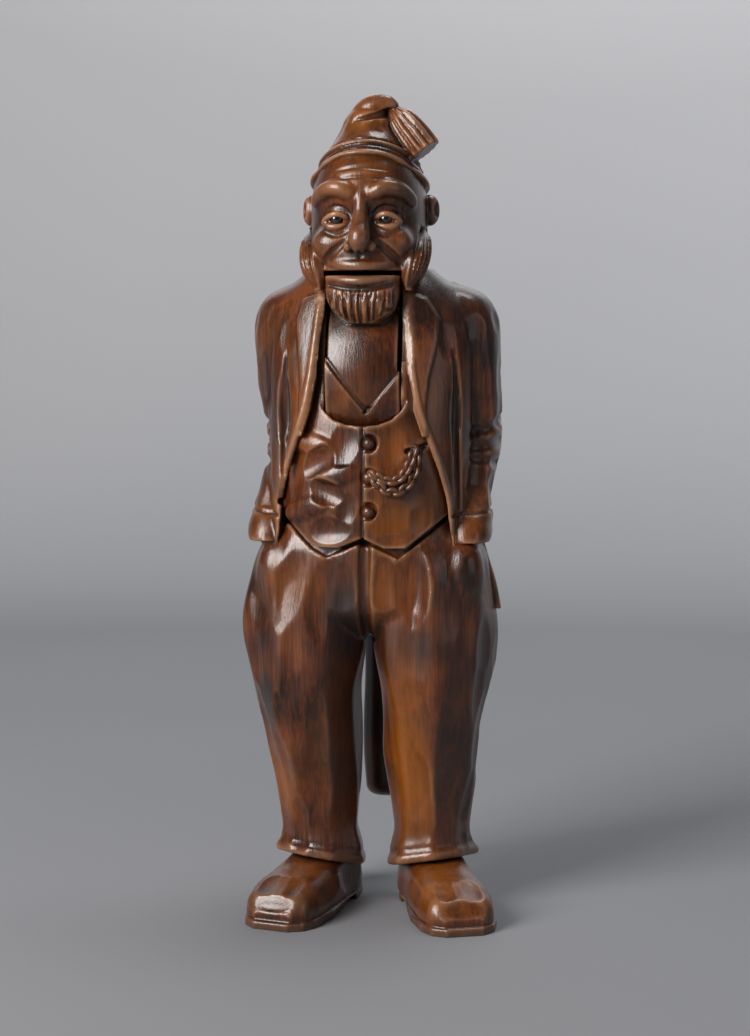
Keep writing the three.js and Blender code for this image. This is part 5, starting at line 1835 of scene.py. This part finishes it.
class NUTCRACKER_OT_buttons(bpy.types.Operator):
    """Turn the three waistcoat buttons"""

    bl_idname = "nutcracker.buttons"
    bl_label = "Buttons"

    def execute(self, context):
        material = stained_wood("button_wood_polished", 0.8)
        for node in ("top_button", "middle_button", "bottom_button"):
            seat = seat_of(node, BUTTON_DOME)
            points, faces = turned(BUTTON_PROFILE, seat)
            made = piece(node + "_turned", points, faces, "figure", [node], material)
            ahead = np.array([seat[1] - p[1] for p in points])
            # Paler towards the top of the dome as wear, darker towards the seat as painted shade.
            attribute(made.data, "worn", np.clip(ahead - 0.9, 0, 1) * 0.5)
            attribute(made.data, "hollow", np.clip(0.5 - ahead, 0, 0.9))
            attribute(made.data, "amber", np.zeros(len(points)))
        return {"FINISHED"}


class NUTCRACKER_OT_eyes(bpy.types.Operator):
    """Set the two glass beads of the eyes"""

    bl_idname = "nutcracker.eyes"
    bl_label = "Eyes"

    def execute(self, context):
        stain = context.scene.nutcracker_stain
        material, tree, shader, coordinates = finish_tree("eye_bead_glass")
        cloud = noise(tree, coordinates, scale=1400.0, detail=2.0)
        tint = mixed(tree, cloud, solid_colour(stain.bead, 0.6), solid_colour(stain.bead, 1.5))
        feed(tree, shader.inputs["Base Color"], tint)
        shader.inputs["Roughness"].default_value = 0.06
        shader.inputs["Coat Weight"].default_value = 1.0
        shader.inputs["Coat Roughness"].default_value = 0.03
        for node in ("right_eye", "left_eye"):
            points, faces = turned(EYE_PROFILE, seat_of(node, EYE_DOME))
            piece(node + "_bead", points, faces, "figure", [node], material)
        return {"FINISHED"}


class NUTCRACKER_OT_pin(bpy.types.Operator):
    """Finish the steel pivot pin"""

    bl_idname = "nutcracker.pin"
    bl_label = "Pivot pin"

    def execute(self, context):
        stain = context.scene.nutcracker_stain
        material, tree, shader, coordinates = finish_tree("pin_steel_drawn")
        drawn = put(tree, "ShaderNodeMapping", {"Vector": coordinates, "Scale": (0.02, 1, 1)})
        lines = noise(tree, drawn.outputs[0], scale=5000.0, detail=2.0)
        tint = mixed(tree, lines, solid_colour(stain.steel, 0.6), solid_colour(stain.steel))
        feed(tree, shader.inputs["Base Color"], tint)
        feed(tree, shader.inputs["Roughness"], reckon(tree, "MULTIPLY_ADD", lines, 0.3, 0.2))
        shader.inputs["Metallic"].default_value = 1.0
        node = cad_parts["pivot_pin"]
        node.data.materials.clear()
        node.data.materials.append(material)
        return {"FINISHED"}


# Steps round a link and round its wire.
LINK_STEPS, WIRE_STEPS = 14, 8


def chain_tree(material):
    """Geometry nodes: links along a line, each turned a quarter from the last."""
    tree = bpy.data.node_groups.new("watch_chain_links", "GeometryNodeTree")
    face = tree.interface
    face.new_socket("Geometry", in_out="INPUT", socket_type="NodeSocketGeometry")
    sockets = {}
    for name in ("Links", "Link length", "Link width", "Wire"):
        kind = "NodeSocketInt" if name == "Links" else "NodeSocketFloat"
        sockets[name] = face.new_socket(name, in_out="INPUT", socket_type=kind).identifier
    face.new_socket("Geometry", in_out="OUTPUT", socket_type="NodeSocketGeometry")

    def node(kind, inputs=None, **settings):
        return put(tree, kind, inputs, **settings)

    start, end = node("NodeGroupInput"), node("NodeGroupOutput")
    given = start.outputs
    path = node("GeometryNodeResampleCurve", {"Curve": given["Geometry"], "Count": given["Links"]})
    ring = node("GeometryNodeCurvePrimitiveCircle", {"Resolution": LINK_STEPS, "Radius": 1.0})
    half = {"X": given["Link width"], "Y": 1.0, "Z": given["Link length"]}
    size = node("ShaderNodeCombineXYZ", half)
    raised = {"Geometry": ring.outputs["Curve"], "Rotation": (math.pi / 2, 0, 0)}
    upright = node("GeometryNodeTransform", raised)
    oval = node("GeometryNodeTransform", {"Geometry": upright.outputs[0], "Scale": size.outputs[0]})
    thick = {"Resolution": WIRE_STEPS, "Radius": given["Wire"]}
    wire = node("GeometryNodeCurvePrimitiveCircle", thick)
    bent = {"Curve": oval.outputs[0], "Profile Curve": wire.outputs["Curve"]}
    link = node("GeometryNodeCurveToMesh", bent)
    tangent = node("GeometryNodeInputTangent")
    facing = node("FunctionNodeAlignRotationToVector", {"Vector": tangent.outputs[0]}, axis="Z")
    number = node("GeometryNodeInputIndex")
    odd = node("ShaderNodeMath", {0: number.outputs[0], 1: 2.0}, operation="MODULO")
    turn = node("ShaderNodeMath", {0: odd.outputs[0], 1: math.pi / 2}, operation="MULTIPLY")
    lean = node("ShaderNodeMath", {0: turn.outputs[0], 1: math.pi / 4}, operation="ADD")
    about = node("ShaderNodeCombineXYZ", {"Z": lean.outputs[0]})
    euler = node("FunctionNodeEulerToRotation", {0: about.outputs[0]})
    turned_by = {"Rotation": facing.outputs[0], "Rotate By": euler.outputs[0]}
    spin = node("FunctionNodeRotateRotation", turned_by, rotation_space="LOCAL")
    laid_out = {"Points": path.outputs[0], "Instance": link.outputs[0], "Rotation": spin.outputs[0]}
    placed = node("GeometryNodeInstanceOnPoints", laid_out)
    real = node("GeometryNodeRealizeInstances", {"Geometry": placed.outputs[0]})
    smooth = node("GeometryNodeSetShadeSmooth", {"Geometry": real.outputs[0]})
    dressed = node("GeometryNodeSetMaterial", {"Geometry": smooth.outputs[0], "Material": material})
    tree.links.new(dressed.outputs[0], end.inputs["Geometry"])
    return tree, sockets


# The chain's two strands across the waistcoat, from the button to the pocket.
CHAIN_STRANDS = (
    (
        (3.0, 111.9), (4.4, 109.8), (6.4, 108.3), (8.6, 107.9), (10.8, 108.9), (12.6, 111.4),
        (13.5, 114.4), (13.6, 117.6),
    ),
    (
        (3.4, 112.2), (5.0, 111.3), (7.0, 110.7), (8.8, 110.9), (10.4, 112.2), (11.6, 114.2),
        (12.4, 116.2), (12.9, 118.0),
    ),
)
CHAIN_STAND_OFF = 0.95
LINK_LENGTH, LINK_WIDTH = 0.00135, 0.00098


class NUTCRACKER_OT_chain(bpy.types.Operator):
    """Link the watch chain from the middle button to the pocket"""

    bl_idname = "nutcracker.chain"
    bl_label = "Watch chain"

    def execute(self, context):
        carving = context.scene.nutcracker_carving
        shape = bpy.data.curves.new("watch_chain_line", "CURVE")
        shape.dimensions = "3D"
        for strand in CHAIN_STRANDS:
            line = curve([(x, vest_front(x, z) - CHAIN_STAND_OFF, z) for x, z in strand], 0.8)
            spline = shape.splines.new("POLY")
            spline.points.add(len(line) - 1)
            for point, place in zip(spline.points, (line + OFFSET) / MM):
                point.co = (*place, 1)
        made = bpy.data.objects.new("watch_chain_path", shape)
        context.scene.collection.objects.link(made)
        tree, sockets = chain_tree(stained_wood("chain_wood_varnished", 0.85))
        modifier = made.modifiers.new("Links", "NODES")
        modifier.node_group = tree
        modifier[sockets["Links"]] = carving.chain_links
        modifier[sockets["Link length"]] = LINK_LENGTH
        modifier[sockets["Link width"]] = LINK_WIDTH
        modifier[sockets["Wire"]] = carving.chain_wire
        context.view_layer.update()
        evaluated = made.evaluated_get(context.evaluated_depsgraph_get())
        mesh = bpy.data.meshes.new_from_object(evaluated)
        bpy.data.objects.remove(made)
        chain = bpy.data.objects.new("watch_chain", mesh)
        context.scene.collection.objects.link(chain)
        places = np.zeros(len(mesh.vertices) * 3, np.float32)
        mesh.vertices.foreach_get("co", places)
        depth = places.reshape(-1, 3)[:, 1] * MM - OFFSET[1]
        near = (depth - depth.min()) / (depth.max() - depth.min())
        # Paler on the fronts of the links as wear, darker behind them towards the waistcoat as
        # painted shade.
        attribute(mesh, "worn", np.clip(0.35 - near * 0.5, 0, 1))
        attribute(mesh, "hollow", np.clip(near - 0.45, 0, 0.8))
        attribute(mesh, "amber", np.zeros(len(mesh.vertices)))
        settle(chain, "figure", ["figure_body"])
        return {"FINISHED"}


class NUTCRACKER_OT_stain_and_shade(bpy.types.Operator):
    """Darken the hollows between pieces: gathered stain and painted shade"""

    bl_idname = "nutcracker.patina"
    bl_label = "Stain and painted shade"

    def execute(self, context):
        whole = Block((-38, -36, -4), (40, 44, 210), 0.8)
        for block, _ in carved.values():
            cells, theirs = [], []
            for axis, low, count in zip(whole.axes, block.low, block.field.shape):
                at = np.round((axis - low) / block.step).astype(int)
                shared = (at >= 0) & (at < count)
                cells.append(np.flatnonzero(shared))
                theirs.append(at[shared])
            cells, theirs = np.ix_(*cells), np.ix_(*theirs)
            whole.field[cells] = np.minimum(whole.field[cells], block.field[theirs])
        # How much wood lies round a place: close by for corners, wider for deep hollows.
        solid = (whole.field < 0).astype(np.float32)
        near, wide = softened(softened(solid, 1), 1), softened(softened(solid, 3), 2)
        for name, (_, points) in carved.items():
            mesh = bpy.data.objects[name].data
            close = np.clip((whole.sample(points, near) - 0.62) * 3.2, 0, 0.85)
            deep = np.clip((whole.sample(points, wide) - 0.60) * 2.4, 0, 0.8)
            # Painted shade in the hollows between pieces, with the stain gathered there.
            hollow = np.maximum(attribute_of(mesh, "hollow"), close) + 0.8 * deep
            attribute(mesh, "hollow", np.clip(hollow, 0, 0.94))
        return {"FINISHED"}


# The stage is in metres: a floor that bends up into a backdrop.
FLOOR_FRONT, FLOOR_BACK, FLOOR_HALF_WIDTH = -1.6, 0.55, 2.2
BEND_RADIUS, BEND_STEPS, BACKDROP_TOP = 0.5, 12, 2.2


def lay_floor(context, stage):
    """A plain floor that pales away from the figure: painted light where the lamps reach it less.
    """
    profile = [(FLOOR_FRONT, 0.0), (FLOOR_BACK, 0.0)]
    for i in range(1, BEND_STEPS + 1):
        angle = math.pi / 2 * i / BEND_STEPS
        back = FLOOR_BACK + BEND_RADIUS * math.sin(angle)
        profile.append((back, BEND_RADIUS - BEND_RADIUS * math.cos(angle)))
    profile.append((FLOOR_BACK + BEND_RADIUS, BACKDROP_TOP))
    points = [(x, y, z) for x in (-FLOOR_HALF_WIDTH, FLOOR_HALF_WIDTH) for y, z in profile]
    n = len(profile)
    faces = [(i, n + i, n + i + 1, i + 1) for i in range(n - 1)]
    mesh = bpy.data.meshes.new("floor")
    mesh.from_pydata(points, [], faces)
    mesh.polygons.foreach_set("use_smooth", np.ones(len(faces), bool))
    material, tree, shader, coordinates = finish_tree("floor_paper")
    height = put(tree, "ShaderNodeSeparateXYZ", {"Vector": coordinates}).outputs["Z"]
    rise = reckon(tree, "MULTIPLY", height, 1.6, clamp=True)
    away = put(tree, "ShaderNodeVectorMath", {0: coordinates}, operation="LENGTH").outputs["Value"]
    # Painted light: paler farther from the figure, where the lamps light the floor less.
    far = reckon(tree, "MULTIPLY_ADD", away, 0.88, -0.44, clamp=True)
    pale = reckon(tree, "MAXIMUM", rise, far)
    grey = mixed(tree, pale, solid_colour(stage.floor), solid_colour(stage.backdrop))
    cloud = noise(tree, coordinates, scale=3.0, detail=2.0)
    cloud = reckon(tree, "MULTIPLY", cloud, 0.06)
    feed(tree, shader.inputs["Base Color"], mixed(tree, cloud, grey, (1, 1, 1, 1)))
    shader.inputs["Roughness"].default_value = 0.85
    shader.inputs["Specular IOR Level"].default_value = 0.1
    mesh.materials.append(material)
    floor = bpy.data.objects.new("floor", mesh)
    context.scene.collection.objects.link(floor)


def light(context, stage):
    """An even surrounding and four lamps."""
    world = bpy.data.worlds.new("studio")
    world.use_nodes = True
    background = world.node_tree.nodes["Background"]
    background.inputs["Color"].default_value = (0.93, 0.95, 1.0, 1)
    background.inputs["Strength"].default_value = stage.sky
    context.scene.world = world
    warm, cool, white = (1.0, 0.95, 0.92), (0.93, 0.96, 1.0), (1.0, 1.0, 1.0)
    # Name, place, aim, size, power, colour.
    lamps = (
        ("key", (-0.53, -0.64, 0.48), (0, 0, 0.12), (0.42, 0.58), stage.key, warm),
        ("fill", (0.75, -0.55, 0.3), (0, 0, 0.11), (0.5, 0.5), stage.fill, cool),
        ("wall", (0.25, 0.3, 1.3), (0.3, 1.05, 0.3), (0.6, 0.6), stage.fill * 17, white),
        ("back", (-0.1, 0.6, 0.6), (0, 0, 0.13), (0.8, 0.4), stage.fill * 1.1, white),
    )
    for name, place, aim, size, power, colour in lamps:
        data = bpy.data.lights.new(name, "AREA")
        data.shape = "RECTANGLE"
        data.size, data.size_y = size
        data.energy, data.color = power, colour
        lamp = bpy.data.objects.new(name, data)
        lamp.location = place
        lamp.rotation_euler = (Vector(aim) - Vector(place)).to_track_quat("-Z", "Y").to_euler()
        context.scene.collection.objects.link(lamp)


# The camera's turn and tilt, its place in metres, and its lens, as a focal length in pixels of a
# picture that is so many pixels high.
CAMERA_YAW, CAMERA_PITCH = math.radians(7), math.radians(5.2)
CAMERA_AWAY, CAMERA_HEIGHT, CAMERA_SHIFT = 0.540, 0.149, 0.001
SENSOR_HEIGHT, FOCAL_PIXELS, PICTURE_PIXELS = 24.0, 2130, 1036


def set_camera(context):
    data = bpy.data.cameras.new("camera")
    data.sensor_fit = "VERTICAL"
    data.sensor_height = SENSOR_HEIGHT
    data.lens = SENSOR_HEIGHT * FOCAL_PIXELS / PICTURE_PIXELS
    data.clip_start, data.clip_end = 0.02, 20
    camera = bpy.data.objects.new("camera", data)
    x = CAMERA_AWAY * math.sin(CAMERA_YAW) + CAMERA_SHIFT + OFFSET[0] / MM
    y = -CAMERA_AWAY * math.cos(CAMERA_YAW) + OFFSET[1] / MM
    camera.location = (x, y, CAMERA_HEIGHT)
    camera.rotation_euler = (math.pi / 2 - CAMERA_PITCH, 0, CAMERA_YAW)
    context.scene.collection.objects.link(camera)
    context.scene.camera = camera


class NUTCRACKER_OT_stage(bpy.types.Operator):
    """Lay the floor and set the lamps and the camera"""

    bl_idname = "nutcracker.stage"
    bl_label = "Stage"

    def execute(self, context):
        stage = context.scene.nutcracker_stage
        lay_floor(context, stage)
        light(context, stage)
        set_camera(context)
        context.scene.view_settings.view_transform = "Standard"
        return {"FINISHED"}


class NUTCRACKER_PT_panel(bpy.types.Panel):
    """Lists the nutcracker's settings and pieces"""

    bl_idname = "NUTCRACKER_PT_panel"
    bl_label = "Nutcracker"
    bl_space_type = "VIEW_3D"
    bl_region_type = "UI"
    bl_category = "Nutcracker"

    def draw(self, context):
        layout = self.layout
        for group, holder in GROUPS:
            box = layout.box()
            for name in group.__annotations__:
                box.prop(getattr(context.scene, holder), name)
        for operator in OPERATORS:
            layout.operator(operator.bl_idname)


GROUPS = (
    (NutcrackerStain, "nutcracker_stain"),
    (NutcrackerCarving, "nutcracker_carving"),
    (NutcrackerStage, "nutcracker_stage"),
)
OPERATORS = (
    NUTCRACKER_OT_stage,
    NUTCRACKER_OT_trousers,
    NUTCRACKER_OT_shoes,
    NUTCRACKER_OT_waistcoat,
    NUTCRACKER_OT_coat,
    NUTCRACKER_OT_head,
    NUTCRACKER_OT_cap,
    NUTCRACKER_OT_jaw,
    NUTCRACKER_OT_handle,
    NUTCRACKER_OT_buttons,
    NUTCRACKER_OT_eyes,
    NUTCRACKER_OT_pin,
    NUTCRACKER_OT_chain,
    NUTCRACKER_OT_stain_and_shade,
)


def register():
    for group, name in GROUPS:
        bpy.utils.register_class(group)
        setattr(bpy.types.Scene, name, PointerProperty(type=group))
    for operator in OPERATORS:
        bpy.utils.register_class(operator)
    bpy.utils.register_class(NUTCRACKER_PT_panel)


def unregister():
    bpy.utils.unregister_class(NUTCRACKER_PT_panel)
    for operator in reversed(OPERATORS):
        bpy.utils.unregister_class(operator)
    for group, name in reversed(GROUPS):
        delattr(bpy.types.Scene, name)
        bpy.utils.unregister_class(group)


def main():
    register()
    for operator in OPERATORS:
        group, name = operator.bl_idname.split(".")
        getattr(getattr(bpy.ops, group), name)()


if __name__ == "__main__":
    main()
